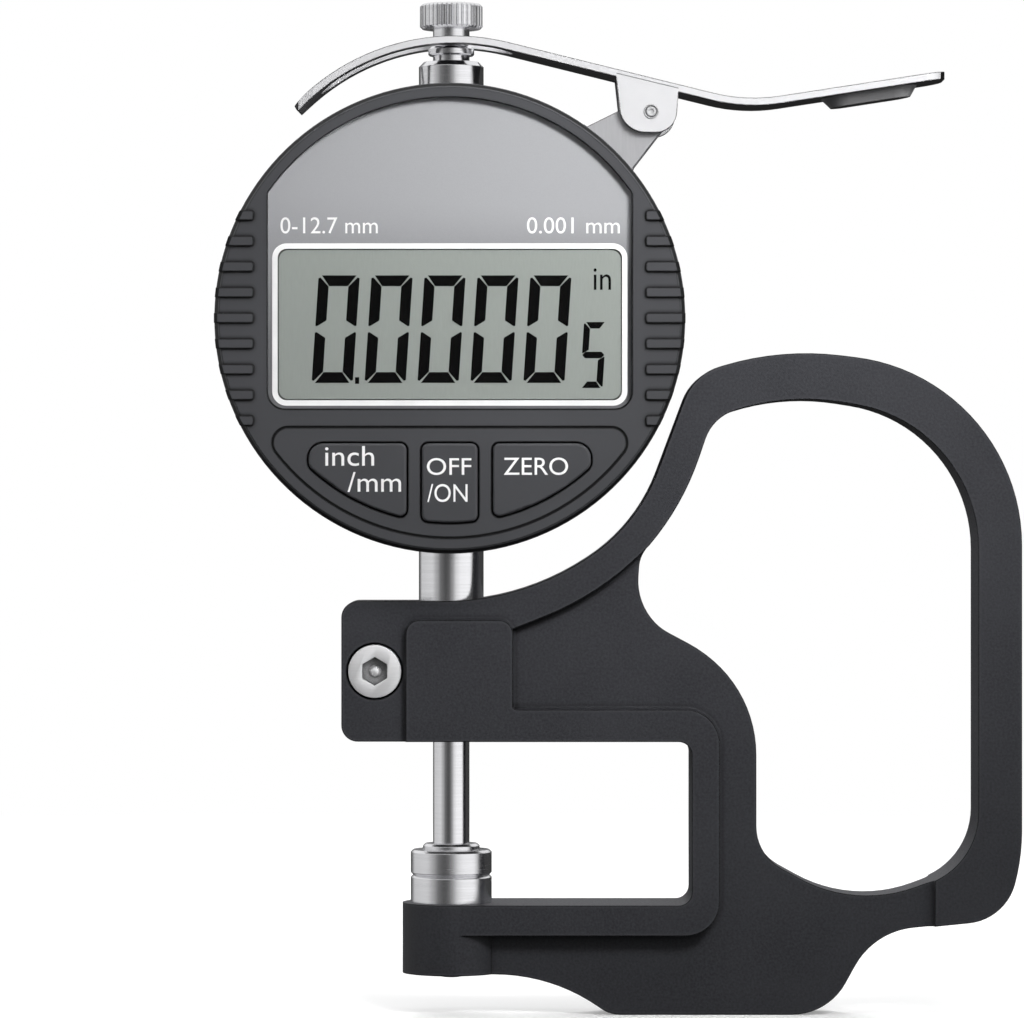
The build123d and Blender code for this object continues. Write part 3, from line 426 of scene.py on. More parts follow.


# Dark satin coating of the display head and its keys, with painted shade in creases and painted
# dark lines along edges
def headFinish(name, grain=2400, relief=0.006 * mm, rim=False):
    look = {
        "dark": (0.047, 0.048, 0.052),
        "light": (0.056, 0.057, 0.062),
        # painted shade in creases
        "creaseShade": (0.005, 0.005, 0.0055),
        # painted shade: dark line along sharp edges
        "edge": (0.003, 0.003, 0.0033),
        "cloud": 60,
        "creaseReach": 0.6 * mm,
        "edgeRadius": 0.32 * mm,
        "softEdge": 0.15 * mm,
        "roughness": (0.36, 0.46),
        "strength": 0.5,
    }
    material, tree, shader = startFinish(
        name, look["dark"], roughness=0.4, Specular_IOR_Level=0.35)
    place = objectCoords(tree)
    fine = noiseNode(tree, place, grain)
    cloud = noiseNode(tree, place, look["cloud"], 3.0)
    tint = tintNode(tree, rangeNode(tree, cloud, 0.0, 1.0), look["dark"], look["light"])
    # painted shade in creases and corners
    tint = tintNode(tree, hollowNode(tree, look["creaseReach"]), tint, look["creaseShade"])
    # painted shade: dark lines along sharp edges
    edge = edgeNode(tree, look["edgeRadius"])
    # painted shade: the chamfer round the face is painted black
    if rim:
        edge = mathNode(tree, "MAXIMUM", edge, rimShadeMask(tree))
    link(tree, tintNode(tree, edge, tint, look["edge"]), shader.inputs["Base Color"])
    link(tree, rangeNode(tree, fine, *look["roughness"]), shader.inputs["Roughness"])
    bump = bumpNode(tree, fine, relief, look["strength"], look["softEdge"])
    link(tree, bump, shader.inputs["Normal"])
    return material


# Turned and polished steel: fine rings round the rod's axis
def turnedSteel(name, colour, roughness, lines=5200):
    look = {
        "stretch": (0.02, 0.02, 1.0),
        "smear": 160,
        "ringRough": (-0.04, 0.05),
        "smearRough": 0.05,
        "ringShade": 0.86,
        "ringShare": 0.5,
        "softEdge": 0.1 * mm,
        "relief": 0.003 * mm,
        "strength": 0.6,
    }
    material, tree, shader = startFinish(name, colour, metallic=1.0, roughness=roughness)
    rings = noiseNode(tree, objectCoords(tree, look["stretch"]), lines, 3.0, 0.6)
    smear = noiseNode(tree, objectCoords(tree), look["smear"], 3.0)
    ringRough = rangeNode(tree, rings, *look["ringRough"])
    smearRough = rangeNode(tree, smear, roughness, roughness + look["smearRough"])
    link(tree, mathNode(tree, "ADD", ringRough, smearRough), shader.inputs["Roughness"])
    shade = tuple(c * look["ringShade"] for c in colour)
    tint = tintNode(tree, rangeNode(tree, rings, 0.0, look["ringShare"]), colour, shade)
    link(tree, tint, shader.inputs["Base Color"])
    relief = bumpNode(tree, rings, look["relief"], look["strength"], look["softEdge"])
    link(tree, relief, shader.inputs["Normal"])
    return material


leverShade = {
    "leftEnd": -18.7 * mm,      # the cut ends are painted black as shade beyond these places
    "rightEnd": 60.1 * mm,
    "under": (-0.85, -0.5),     # painted shade on the underside: upward part of the normal, from dull to bright
    "underShare": 0.95,
    "foldShade": (20.3 * mm, 27.9 * mm, 98.5 * mm, -0.242),      # painted dark line along the fold: left, right, height on the left, rise
    "foldHalf": 0.06 * mm,
    "foldShadeShare": 0.6,
}


# Painted shade: the cut ends painted black, the underside painted dark and a dark line painted
# along the fold above the ears
def leverShadeMask(tree):
    x, _, z = splitNode(tree, objectCoords(tree))
    left = mathNode(tree, "LESS_THAN", x, leverShade["leftEnd"])
    right = mathNode(tree, "GREATER_THAN", x, leverShade["rightEnd"])
    faces = tree.nodes.new("ShaderNodeNewGeometry")
    upward = splitNode(tree, faces.outputs["Normal"])[2]
    under = rangeNode(tree, upward, leverShade["underShare"], 0.0, *leverShade["under"])
    start, stop, height, rise = leverShade["foldShade"]
    along = mathNode(tree, "SUBTRACT", x, start)
    line = mathNode(tree, "ADD", mathNode(tree, "MULTIPLY", along, rise), height)
    away = mathNode(tree, "ABSOLUTE", mathNode(tree, "SUBTRACT", z, line))
    near = mathNode(tree, "LESS_THAN", away, leverShade["foldHalf"])
    afterStart = mathNode(tree, "GREATER_THAN", x, start)
    beforeStop = mathNode(tree, "LESS_THAN", x, stop)
    span = mathNode(tree, "MULTIPLY", afterStart, beforeStop)
    foldShade = mathNode(tree, "MULTIPLY", mathNode(tree, "MULTIPLY", near, span),
                    leverShade["foldShadeShare"])
    ends = mathNode(tree, "MAXIMUM", left, right)
    return mathNode(tree, "MAXIMUM", ends, mathNode(tree, "MAXIMUM", under, foldShade))


# Bright rolled sheet, brushed along the axes that the stretch makes small, with painted dark lines
# along edges and painted shade in hollows
def sheetSteel(name, colour, roughness, stretch=(0.03, 1.0, 1.0), paintLeverShade=False,
               hollow=0.5 * mm, line=0.22 * mm):
    look = {
        "brush": 4200,
        "cloud": 120,
        "metallic": 0.55,
        "brushRough": (-0.05, 0.06),
        "cloudRough": 0.05,
        "brushShade": 0.9,
        "brushShare": 0.6,
        # colour of the painted shade along edges and in hollows
        "edge": (0.03, 0.03, 0.033),
        "edgeRange": (0.04, 0.14),
        "hollowRange": (0.4, 0.9),
        "relief": 0.001 * mm,
        "strength": 0.3,
    }
    material, tree, shader = startFinish(name, colour, look["metallic"], roughness)
    brush = noiseNode(tree, objectCoords(tree, stretch), look["brush"], 3.0, 0.6)
    cloud = noiseNode(tree, objectCoords(tree), look["cloud"], 3.0)
    brushRough = rangeNode(tree, brush, *look["brushRough"])
    cloudRough = rangeNode(tree, cloud, roughness, roughness + look["cloudRough"])
    link(tree, mathNode(tree, "ADD", brushRough, cloudRough), shader.inputs["Roughness"])
    shade = tuple(c * look["brushShade"] for c in colour)
    tint = tintNode(tree, rangeNode(tree, brush, 0.0, look["brushShare"]), colour, shade)
    # painted dark lines along sharp edges and painted shade in hollows
    rims = edgeNode(tree, line, *look["edgeRange"])
    edge = mathNode(tree, "MAXIMUM", rims, hollowNode(tree, hollow, *look["hollowRange"]))
    # the lever also gets painted shade on its cut ends, underside and fold
    if paintLeverShade:
        edge = mathNode(tree, "MAXIMUM", edge, leverShadeMask(tree))
    link(tree, tintNode(tree, edge, tint, look["edge"]), shader.inputs["Base Color"])
    # where shade is painted, the sheet is fully metallic, so it reflects little and stays dark
    metal = rangeNode(tree, edge, look["metallic"], 1.0, 0.0, 1.0)
    link(tree, metal, shader.inputs["Metallic"])
    relief = bumpNode(tree, brush, look["relief"], look["strength"])
    link(tree, relief, shader.inputs["Normal"])
    return material


# Moulded, stamped or plated small parts, with a fine grain and slight unevenness
def plainFinish(name, colour, roughness, metallic=0.0, grain=2600, relief=0.01 * mm,
                softEdge=0.1 * mm, **sockets):
    look = {"cloud": 150, "shade": 0.82, "smoother": 0.05, "rougher": 0.07, "strength": 0.5}
    material, tree, shader = startFinish(name, colour, metallic, roughness, **sockets)
    place = objectCoords(tree)
    fine = noiseNode(tree, place, grain, 3.0)
    cloud = noiseNode(tree, place, look["cloud"], 3.0)
    shade = tuple(c * look["shade"] for c in colour)
    tint = tintNode(tree, rangeNode(tree, cloud, 0.0, 1.0), colour, shade)
    link(tree, tint, shader.inputs["Base Color"])
    rough = rangeNode(tree, fine, roughness - look["smoother"], roughness + look["rougher"])
    link(tree, rough, shader.inputs["Roughness"])
    bump = bumpNode(tree, fine, relief, look["strength"], softEdge)
    link(tree, bump, shader.inputs["Normal"])
    return material


def windowFinish():    # clear acrylic
    look = {"colour": (0.9, 0.9, 0.9), "gloss": 1.14, "smear": 120, "roughness": (0.03, 0.09)}
    material, tree, shader = startFinish("clearWindow", look["colour"], metallic=1.0)
    gloss = tree.nodes.new("ShaderNodeFresnel")
    gloss.inputs["IOR"].default_value = look["gloss"]
    link(tree, gloss.outputs[0], shader.inputs["Alpha"])
    smear = noiseNode(tree, objectCoords(tree), look["smear"], 3.0)
    link(tree, rangeNode(tree, smear, *look["roughness"]), shader.inputs["Roughness"])
    return material


panel = {
    "silver": (0.325, 0.329, 0.342),
    "smoke": (0.11, 0.111, 0.118),
    "flake": (0.6, 0.6, 0.62),
    "flakeShare": 0.06,
    "flakeScale": 9000,
    "viewHalf": (20.78 * mm, 9.15 * mm),
    "viewCorner": 1.2 * mm,
    "printLift": 0.06 * mm,             # in front of the back of the clear sheet
    "printThick": 0.02 * mm,
    "fadeFrom": (66.0 * mm, 0.214),     # where the silver starts: middle height, rise to the right
    "fadeTo": (83.0 * mm, -0.095),      # where it is full
}


def viewMask(tree, middle, inset=0.0):    # 1 inside the clear view, which has round corners
    x, _, z = splitNode(tree, objectCoords(tree))
    corner = panel["viewCorner"]
    outs = []
    for place, half in zip((x, mathNode(tree, "SUBTRACT", z, middle)), panel["viewHalf"]):
        size = mathNode(tree, "ABSOLUTE", place)
        over = mathNode(tree, "SUBTRACT", size, half - corner - inset)
        outs.append(mathNode(tree, "MAXIMUM", over, 0.0))
    return mathNode(tree, "LESS_THAN", lengthNode(tree, *outs), corner)


def panelFinish(middle):    # silver print that fades to smoke, round a clear view
    material, tree, shader = startFinish("silverPanelPrint", panel["silver"], roughness=0.35)
    x, _, z = splitNode(tree, objectCoords(tree))
    fade = tree.nodes.new("ShaderNodeMapRange")
    fade.interpolation_type = "SMOOTHSTEP"
    link(tree, z, fade.inputs[0])
    for i, (height, rise) in enumerate((panel["fadeFrom"], panel["fadeTo"]), 1):
        line = mathNode(tree, "ADD", mathNode(tree, "MULTIPLY", x, rise), height)
        link(tree, line, fade.inputs[i])
    flake = noiseNode(tree, objectCoords(tree), panel["flakeScale"])
    tint = tintNode(tree, fade.outputs[0], panel["smoke"], panel["silver"])
    flakes = rangeNode(tree, flake, 0.0, panel["flakeShare"])
    link(tree, tintNode(tree, flakes, tint, panel["flake"]), shader.inputs["Base Color"])
    solid = mathNode(tree, "SUBTRACT", 1.0, viewMask(tree, middle))
    link(tree, solid, shader.inputs["Alpha"])
    return material


# Grey liquid-crystal glass with a faint vertical cell structure and a painted shadow line round
# the edge of the view
def displayFinish(middle):
    look = {
        "grey": (0.295, 0.319, 0.299),
        "shade": (0.282, 0.305, 0.286),
        "viewEdgeShadow": (0.1, 0.107, 0.1),
        "inset": 0.14 * mm,
        "cells": 5200,
        "stretch": (1.0, 1.0, 0.15),
    }
    material, tree, shader = startFinish(
        "displayGlass", look["grey"], roughness=0.4, Specular_IOR_Level=0.2)
    cells = noiseNode(tree, objectCoords(tree, look["stretch"]), look["cells"])
    tint = tintNode(tree, rangeNode(tree, cells, 0.0, 1.0), look["grey"], look["shade"])
    # painted shadow line just inside the edge of the view
    inside = viewMask(tree, middle, look["inset"])
    link(tree, tintNode(tree, inside, look["viewEdgeShadow"], tint), shader.inputs["Base Color"])
    return material


def boardFinish():    # green solder mask over a faint weave, with lighter lines between blocks
    look = {
        "Color1": (0.012, 0.11, 0.05),
        "Color2": (0.008, 0.075, 0.032),
        "Mortar": (0.03, 0.16, 0.07),
    }
    sizes = {"cells": 260, "weave": 4000, "relief": 0.008 * mm, "strength": 0.5}
    material, tree, shader = startFinish("greenBoard", look["Color1"], roughness=0.35)
    place = objectCoords(tree)
    cells = tree.nodes.new("ShaderNodeTexBrick")
    cells.inputs["Scale"].default_value = sizes["cells"]
    for socket, colour in look.items():
        cells.inputs[socket].default_value = (*colour, 1)
    link(tree, place, cells.inputs["Vector"])
    link(tree, cells.outputs["Color"], shader.inputs["Base Color"])
    weave = noiseNode(tree, place, sizes["weave"])
    relief = bumpNode(tree, weave, sizes["relief"], sizes["strength"])
    link(tree, relief, shader.inputs["Normal"])
    return material


def dress(material, *names):    # gives CAD nodes a finish
    for name in names:
        mesh = nodes[name].data
        for i in range(len(mesh.materials)):
            mesh.materials[i] = material
        if not mesh.materials:
            mesh.materials.append(material)


def dressNodes():
    dress(castingFinish(), "frame")
    # the head's chamfer is painted black as shade
    dress(headFinish("headSatinCoating", rim=True), "front_housing")
    dress(headFinish("keySatinCoating"), "button_unit", "button_power", "button_zero")
    dress(headFinish("coverSatinCoating", 1800, 0.012 * mm), "rear_cover", "battery_lid")
    dress(windowFinish(), "window_panel")
    dress(turnedSteel("polishedSteel", (0.80, 0.80, 0.82), 0.13),
          "stem", "upper_bushing", "spindle", "lift_collar", "guide_pin")
    dress(turnedSteel("knurledSteel", (0.82, 0.82, 0.84), 0.2), "lifting_knob")
    dress(turnedSteel("groundSteel", (0.78, 0.78, 0.80), 0.2, 7000), "contact_point", "anvil")
    # the lever gets painted shade on its cut ends, underside and fold
    dress(sheetSteel("leverSteel", (0.77, 0.77, 0.785), 0.36, (0.03, 1.0, 0.05),
                     paintLeverShade=True, line=0.3 * mm), "lever")
    dress(sheetSteel("bracketSteel", (0.46, 0.46, 0.475), 0.38, (1.0, 1.0, 0.05),
                     line=0.3 * mm), "lever_bracket")
    dress(plainFinish("nickelPlating", (0.62, 0.61, 0.60), 0.26, 1.0),
          "board_screws", "bracket_screws", "cover_screws", "battery_contacts", "battery")
    dress(plainFinish("blackenedSteel", (0.01, 0.01, 0.011), 0.45), "anvil_screw")
    dress(plainFinish("springWire", (0.5, 0.49, 0.47), 0.3, 1.0), "return_spring")
    dress(plainFinish("bearingBronze", (0.55, 0.33, 0.14), 0.4, 1.0), "stem_bushing")
    dress(plainFinish("blackRubber", (0.018, 0.018, 0.018), 0.75, grain=1500, relief=0.02 * mm),
          "housing_gasket", "lid_seal")
    dress(plainFinish("layeredSilicone", (0.45, 0.40, 0.36), 0.6), "contact_strip")
    dress(plainFinish("greyNylon", (0.12, 0.12, 0.125), 0.5),
          "lcd_holder", "key_switches", "scale_carrier")
    dress(boardFinish(), "circuit_board", "sensor_strip", "scale_slider")


def editMode(kind):
    bpy.ops.object.mode_set(mode="EDIT")
    bpy.ops.mesh.select_mode(type=kind)
    bpy.ops.mesh.select_all(action="DESELECT")


def objectMode():
    bpy.ops.object.mode_set(mode="OBJECT")


# Selects in edit mode the vertices, edges or faces that pass a test
def selectParts(piece, kind, test):
    editMode(kind)
    objectMode()
    mesh = piece.data
    parts = {"VERT": mesh.vertices, "EDGE": mesh.edges, "FACE": mesh.polygons}[kind]
    for part in parts:
        part.select = bool(test(part))
    bpy.ops.object.mode_set(mode="EDIT")


def moveVertices(piece, test, step):
    selectParts(piece, "VERT", lambda vertex: test(vertex.co))
    bpy.ops.transform.translate(value=step)
    objectMode()


def bevelVertices(piece, test, offset, segments=1):
    selectParts(piece, "VERT", lambda vertex: test(vertex.co))
    bpy.ops.mesh.bevel(affect="VERTICES", offset_type="OFFSET", offset=offset, segments=segments)
    objectMode()


def extrudeAlongY(step):
    bpy.ops.mesh.extrude_region_move(TRANSFORM_OT_translate={"value": (0, step, 0)})


def fattenFaces(amount):
    bpy.ops.mesh.extrude_region_shrink_fatten(TRANSFORM_OT_shrink_fatten={"value": amount})


def applyModifier(piece, name):
    bpy.context.view_layer.objects.active = piece
    bpy.ops.object.modifier_apply(modifier=name)


def applyPlace():
    bpy.ops.object.transform_apply(location=True, rotation=True, scale=True)


def startRound(low, high, radius, sides):    # a cylinder along Y
    bpy.ops.object.select_all(action="DESELECT")
    bpy.ops.mesh.primitive_cylinder_add(
        vertices=sides, radius=radius, depth=high.y - low.y, location=(low + high) / 2,
        rotation=(radians(90), 0, 0))
    piece = bpy.context.object
    applyPlace()
    return piece


def startFlat(place, size):    # a flat rectangle that faces the camera side, ready to be shaped
    bpy.ops.object.select_all(action="DESELECT")
    bpy.ops.mesh.primitive_plane_add(size=1, location=place, rotation=(radians(90), 0, 0))
    piece = bpy.context.object
    piece.scale = (*size, 1)
    applyPlace()
    return piece


sharp = radians(35)             # edges sharper than this are bevelled and stay sharp


def softEdges(piece, width):
    bevel = piece.modifiers.new("edges", "BEVEL")
    bevel.width = width
    bevel.segments = 2
    bevel.angle_limit = sharp
    applyModifier(piece, "edges")
    bpy.ops.object.select_all(action="DESELECT")
    piece.select_set(True)
    bpy.ops.object.shade_smooth_by_angle(angle=sharp)


def thicken(piece, amount):    # gives a flat print its thin layer of ink, towards the viewer
    solid = piece.modifiers.new("ink", "SOLIDIFY")
    solid.thickness = amount
    solid.offset = 1
    applyModifier(piece, "ink")


def joinPieces(pieces):
    bpy.ops.object.select_all(action="DESELECT")
    for piece in pieces:
        piece.select_set(True)
    bpy.context.view_layer.objects.active = pieces[0]
    bpy.ops.object.join()
    return bpy.context.object


def finishPiece(piece, name, material, body):
    piece.name = name
    piece.data.materials.clear()
    piece.data.materials.append(material)
    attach(piece, body)


pin = {
    "radius": 0.9 * mm,
    "sides": 48,
    "land": 0.16 * mm,
    "groove": 0.14 * mm,
    "grooveDeep": 0.12 * mm,
    "coreDeep": 0.024 * mm,
    "dimple": 0.3 * mm,
    "dimpleDeep": 0.05 * mm,
    "edge": 0.03 * mm,
}


def makePin(steel):    # turned pin with a ring groove and a dimple at both ends
    low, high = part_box("pivot_pin")
    piece = startRound(low, high, pin["radius"], pin["sides"])
    selectParts(piece, "FACE", lambda face: abs(face.normal.y) > 0.9)
    bpy.ops.mesh.inset(thickness=pin["land"])
    fattenFaces(-pin["grooveDeep"])
    bpy.ops.mesh.inset(thickness=pin["groove"])
    fattenFaces(pin["grooveDeep"] - pin["coreDeep"])
    bpy.ops.mesh.inset(thickness=pin["dimple"])
    fattenFaces(-pin["dimpleDeep"])
    objectMode()
    softEdges(piece, pin["edge"])
    finishPiece(piece, "pin", steel, "frame")
    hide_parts("pivot_pin")


screw = {
    "headDeep": 3.2 * mm,
    "shank": 2.0 * mm,
    "sides": 64,
    "across": 1.74 * mm,        # from the middle of the socket to its corners
    "socket": 1.5 * mm,
    "edge": 0.1 * mm,
    "pip": 0.78 * mm,
    "pipFlat": 0.8,             # depth of the pip per width
    "pipSides": (32, 16),
}


def makeClampScrew(steel, bright):    # flat head with a hexagon socket and a round pip in it
    low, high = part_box("clamp_screw")
    middle = (low + high) / 2
    radius = (high.x - low.x) / 2
    piece = startRound(low, high, radius, screw["sides"])
    selectParts(piece, "FACE", lambda face: face.normal.y > 0.9)
    shankLong = high.y - low.y - screw["headDeep"]
    bpy.ops.transform.translate(value=(0, -shankLong, 0))
    bpy.ops.mesh.inset(thickness=radius - screw["shank"])
    extrudeAlongY(shankLong)
    objectMode()
    bpy.ops.mesh.primitive_cylinder_add(
        vertices=6, radius=screw["across"], depth=2 * screw["socket"],
        location=(middle.x, low.y, middle.z), rotation=(radians(90), 0, 0))
    cutter = bpy.context.object
    cut = piece.modifiers.new("socket", "BOOLEAN")
    cut.object = cutter
    cut.solver = "EXACT"
    applyModifier(piece, "socket")
    bpy.data.objects.remove(cutter)
    softEdges(piece, screw["edge"])
    finishPiece(piece, "clamp_screw_head", steel, "frame")
    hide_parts("clamp_screw")
    bottom = low.y + screw["socket"]
    segments, rings = screw["pipSides"]
    bpy.ops.mesh.primitive_uv_sphere_add(
        segments=segments, ring_count=rings, radius=screw["pip"],
        location=(middle.x, bottom, middle.z))
    pip = bpy.context.object
    pip.scale.y = screw["pipFlat"]
    applyPlace()
    selectParts(pip, "VERT", lambda vertex: vertex.co.y > bottom + tiny)
    bpy.ops.mesh.delete(type="VERT")
    objectMode()
    bpy.ops.object.shade_smooth()
    finishPiece(pip, "clamp_screw_pip", bright, "frame")


display = {
    "front": -13.3 * mm,
    "edge": 1.25 * mm,          # how far the back plate stands out
    "corner": 1.1 * mm,
    "cornerSides": 6,
    "rim": 0.06 * mm,
    "rimSides": 2,
}


def makeDisplay():    # two glass plates, the front one smaller
    low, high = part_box("lcd_panel")
    bpy.ops.object.select_all(action="DESELECT")
    bpy.ops.mesh.primitive_cube_add(size=1, location=(low + high) / 2)
    piece = bpy.context.object
    piece.scale = high - low
    applyPlace()
    selectParts(piece, "FACE", lambda face: face.normal.y < -0.9)
    bpy.ops.mesh.inset(thickness=display["edge"])
    extrudeAlongY(display["front"] - low.y)
    objectMode()
    inner = high.x - display["edge"] / 2

    def ends(edge):
        return [piece.data.vertices[i].co for i in edge.vertices]

    def isCorner(edge):
        a, b = ends(edge)
        return abs(a.x) < inner and abs(b.x) < inner and abs(a.y - b.y) > tiny

    def isFrontRim(edge):
        return max(co.y for co in ends(edge)) < display["front"] + tiny

    selectParts(piece, "EDGE", isCorner)
    bpy.ops.mesh.bevel(offset=display["corner"], segments=display["cornerSides"])
    selectParts(piece, "EDGE", isFrontRim)
    bpy.ops.mesh.bevel(offset=display["rim"], segments=display["rimSides"])
    objectMode()
    glass = displayFinish((low.z + high.z) / 2)
    finishPiece(piece, "display", glass, "frame")
    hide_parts("lcd_panel")


def viewMiddle():    # height of the middle of the clear view
    low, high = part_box("lcd_panel")
    return (low.z + high.z) / 2


def makePanelPrint():    # the printed layer on the back of the clear sheet
    window = nodes["window_panel"]
    bpy.ops.object.select_all(action="DESELECT")
    window.select_set(True)
    bpy.context.view_layer.objects.active = window
    bpy.ops.object.duplicate()
    piece = bpy.context.object
    bpy.ops.object.mode_set(mode="EDIT")
    bpy.ops.mesh.select_all(action="SELECT")
    bpy.ops.mesh.remove_doubles(threshold=tiny / 10)
    objectMode()
    selectParts(piece, "FACE", lambda face: face.normal.y < 0.9)
    bpy.ops.mesh.delete(type="FACE")
    bpy.ops.mesh.select_all(action="SELECT")
    bpy.ops.transform.translate(value=(0, -panel["printLift"], 0))
    bpy.ops.mesh.flip_normals()
    objectMode()
    thicken(piece, panel["printThick"])
    finishPiece(piece, "panel_print", panelFinish(viewMiddle()), "frame")


prints = {
    "ink": 0.015 * mm,          # thickness of the ink
    "lift": 0.004 * mm,         # in front of a key or of the display
    "panelLift": 0.08 * mm,     # in front of the back of the panel's print
}


def panelInk():    # depth of what is printed on the panel
    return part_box("window_panel")[1].y - panel["printLift"] - prints["panelLift"]


viewLine = {
    "size": (42.88 * mm, 19.6 * mm),
    "width": 0.66 * mm,
    "corner": 1.75 * mm,
    "cornerSides": 10,
}


def makeViewLine(white):    # white line printed round the view
    piece = startFlat((0, panelInk(), viewMiddle()), viewLine["size"])
    bevelVertices(piece, lambda co: True, viewLine["corner"], viewLine["cornerSides"])
    bpy.ops.object.mode_set(mode="EDIT")
    bpy.ops.mesh.select_all(action="SELECT")
    bpy.ops.mesh.inset(thickness=viewLine["width"])
    bpy.ops.mesh.delete(type="FACE")
    objectMode()
    thicken(piece, prints["ink"])
    finishPiece(piece, "window_line", white, "frame")


readout = {
    "top": 73.29 * mm,
    "bottom": 60.31 * mm,
    "left": -15.84 * mm,
    "pitch": 6.39 * mm,
    "width": 4.97 * mm,
    "stroke": 1.3 * mm,
    "gap": 0.05 * mm,
    "waist": 0.23 * mm,         # half the gap at the middle of the verticals
    "notch": 0.63,              # how far the inner side stops short of the waist, per stroke
    "cut": 0.35 * mm,           # chamfer of the outer corners
    "waistCut": 0.6,            # chamfer at the waist, per chamfer of the corners
    "point": 0.47,              # chamfer of the middle bar, per stroke
    "lean": 0.066,              # sideways per height
    "digits": "00000",
}
lastDigit = {
    "text": "5",
    "left": 16.2 * mm,
    "bottom": 59.7 * mm,
    "top": 67.66 * mm,
    "width": 2.75 * mm,
    "stroke": 0.78 * mm,
}
decimalPoint = {"left": -11.45 * mm, "bottom": 60.2 * mm, "size": (0.5 * mm, 0.8 * mm)}
strokesOf = {"0": "abcdef", "5": "afgcd"}


# The top, middle or bottom bar of a seven-bar digit
def makeLevelBar(letter, left, bottom, width, height, stroke, y):
    cut = readout["cut"] * stroke / readout["stroke"]
    heights = {"a": height - stroke / 2, "g": height / 2, "d": stroke / 2}
    x = left + width / 2
    z = bottom + heights[letter]
    short = readout["gap"] + (0 if letter == "g" else cut)
    bar = startFlat((x, y, z), (width - 2 * short, stroke))
    if letter == "g":
        bevelVertices(bar, lambda co: True, stroke * readout["point"])
        return bar
    inward = -1 if letter == "a" else 1
    for side in (-1, 1):
        moveVertices(bar, lambda co: (co.z - z) * inward > 0 and (co.x - x) * side > 0,
                     (side * (cut - stroke), 0, 0))
    return bar


# One of the four upright bars
def makeUprightBar(letter, left, bottom, width, height, stroke, y):
    small = stroke / readout["stroke"]
    cut = readout["cut"] * small
    away = 1 if letter in "bf" else -1          # from the waist to the bar's end
    outward = 1 if letter in "bc" else -1
    x = left + (width - stroke / 2 if outward > 0 else stroke / 2)
    waist = bottom + height / 2 + away * readout["waist"] * small
    end = bottom + (height if away > 0 else 0)
    z = (waist + end) / 2
    bar = startFlat((x, y, z), (stroke, abs(end - waist)))
    moveVertices(bar, lambda co: (co.z - z) * away > 0 > (co.x - x) * outward,
                 (0, 0, -away * (stroke + readout["gap"])))
    moveVertices(bar, lambda co: (co.z - z) * away < 0 and (co.x - x) * outward < 0,
                 (0, 0, away * readout["notch"] * stroke))
    bevelVertices(bar, lambda co: (co.z - z) * away > 0 < (co.x - x) * outward, cut)
    bevelVertices(bar, lambda co: (co.z - waist) * away < cut / 4 and (co.x - x) * outward > 0,
                  cut * readout["waistCut"])
    return bar


def makeDigit(text, left, bottom, top, width, stroke, y):
    bars = []
    for letter in strokesOf[text]:
        makeBar = makeLevelBar if letter in "agd" else makeUprightBar
        bars.append(makeBar(letter, left, bottom, width, top - bottom, stroke, y))
    digit = joinPieces(bars)
    lean = Matrix.Identity(4)
    lean[0][2] = readout["lean"]
    lean[0][3] = -readout["lean"] * top
    digit.data.transform(lean)
    return digit


def makeReadout(black):    # the digits and the point of the display
    y = display["front"] - prints["lift"]
    pieces = []
    for i, text in enumerate(readout["digits"]):
        left = readout["left"] + i * readout["pitch"]
        pieces.append(makeDigit(text, left, readout["bottom"], readout["top"],
                                readout["width"], readout["stroke"], y))
    pieces.append(makeDigit(y=y, **lastDigit))
    width, height = decimalPoint["size"]
    place = (decimalPoint["left"] + width / 2, y, decimalPoint["bottom"] + height / 2)
    pieces.append(startFlat(place, decimalPoint["size"]))
    joined = joinPieces(pieces)
    thicken(joined, prints["ink"])
    finishPiece(joined, "readout", black, "frame")


words = {
    # text, left, right, bottom, top in mm, the node that carries it
    "unit_word": ("in", 17.35, 19.45, 71.55, 74.15, "lcd_panel"),
    "range_numbers": ("0-12.7 mm", -20.45, -8.7, 78.33, 80.3, "window_panel"),
    "step_numbers": ("0.001 mm", 9.3, 20.5, 78.33, 80.3, "window_panel"),
    "inch_word": ("inch", -15.0, -9.1, 50.27, 52.67, "button_unit"),
    "millimetre_word": ("/mm", -12.3, -5.85, 47.14, 49.54, "button_unit"),
    "off_word": ("OFF", -2.75, 2.6, 49.18, 51.23, "button_power"),
    "on_word": ("/ON", -2.7, 2.15, 45.93, 48.1, "button_power"),
    "zero_word": ("ZERO", 6.5, 14.25, 49.18, 51.29, "button_zero"),
}


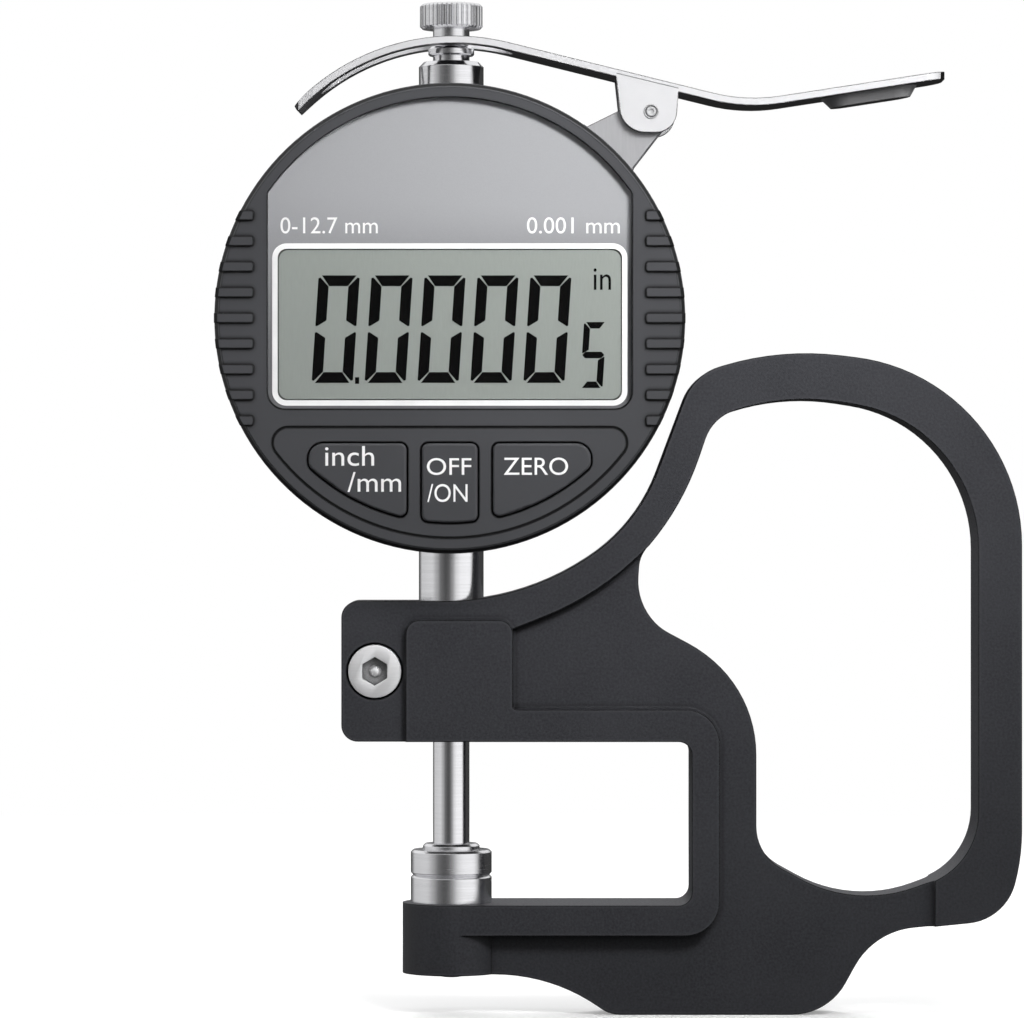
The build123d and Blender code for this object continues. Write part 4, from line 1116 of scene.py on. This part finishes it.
# Flat lettering fitted to a rectangle on the front of a node
def makeWord(name, text, left, right, bottom, top, carrier, material):
    bpy.ops.object.select_all(action="DESELECT")
    bpy.ops.object.text_add(location=(0, 0, 0))
    piece = bpy.context.object
    piece.data.body = text
    piece.data.resolution_u = 6
    bpy.ops.object.convert(target="MESH")
    piece = bpy.context.object
    xs = [vertex.co.x for vertex in piece.data.vertices]
    ys = [vertex.co.y for vertex in piece.data.vertices]
    if carrier == "lcd_panel":
        front = display["front"] - prints["lift"]
    elif carrier == "window_panel":
        front = panelInk()
    else:
        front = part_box(carrier)[0].y - prints["lift"]
    wide = (right - left) * mm / (max(xs) - min(xs))
    tall = (top - bottom) * mm / (max(ys) - min(ys))
    piece.data.transform(Matrix((
        (wide, 0, 0, left * mm - min(xs) * wide),
        (0, 0, -1, front),
        (0, tall, 0, bottom * mm - min(ys) * tall),
        (0, 0, 0, 1))))
    thicken(piece, prints["ink"])
    bpy.ops.object.shade_flat()
    body = nodes[carrier]["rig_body"]
    finishPiece(piece, name, material, body)


def makePrints():
    white = plainFinish("whitePrint", (0.95, 0.95, 0.95), 0.5, grain=6000,
                        relief=0.002 * mm, softEdge=None)
    black = plainFinish("displayBlack", (0.002, 0.002, 0.002), 0.5, grain=6000,
                        relief=0.001 * mm, softEdge=None, Specular_IOR_Level=0.05)
    makePanelPrint()
    makeViewLine(white)
    makeReadout(black)
    for name, (*rest, carrier) in words.items():
        makeWord(name, *rest, carrier, black if carrier == "lcd_panel" else white)


bpy.context.scene.view_settings.view_transform = "Standard"
makeCamera()
makeStudio()
addLamps()
makeFloor()
print("camera, lamps and floor made")
dressNodes()
print("CAD pieces dressed")
makePin(sheetSteel("pinSteel", (0.6, 0.6, 0.61), 0.32))
# the wide hollow reach paints shade deep inside the screw's socket
makeClampScrew(sheetSteel("screwSteel", (0.92, 0.92, 0.93), 0.36, hollow=2.4 * mm),
               sheetSteel("pipSteel", (0.9, 0.9, 0.91), 0.3))
print("pin and clamp screw made")
makeDisplay()
makePrints()
print("display and prints made")
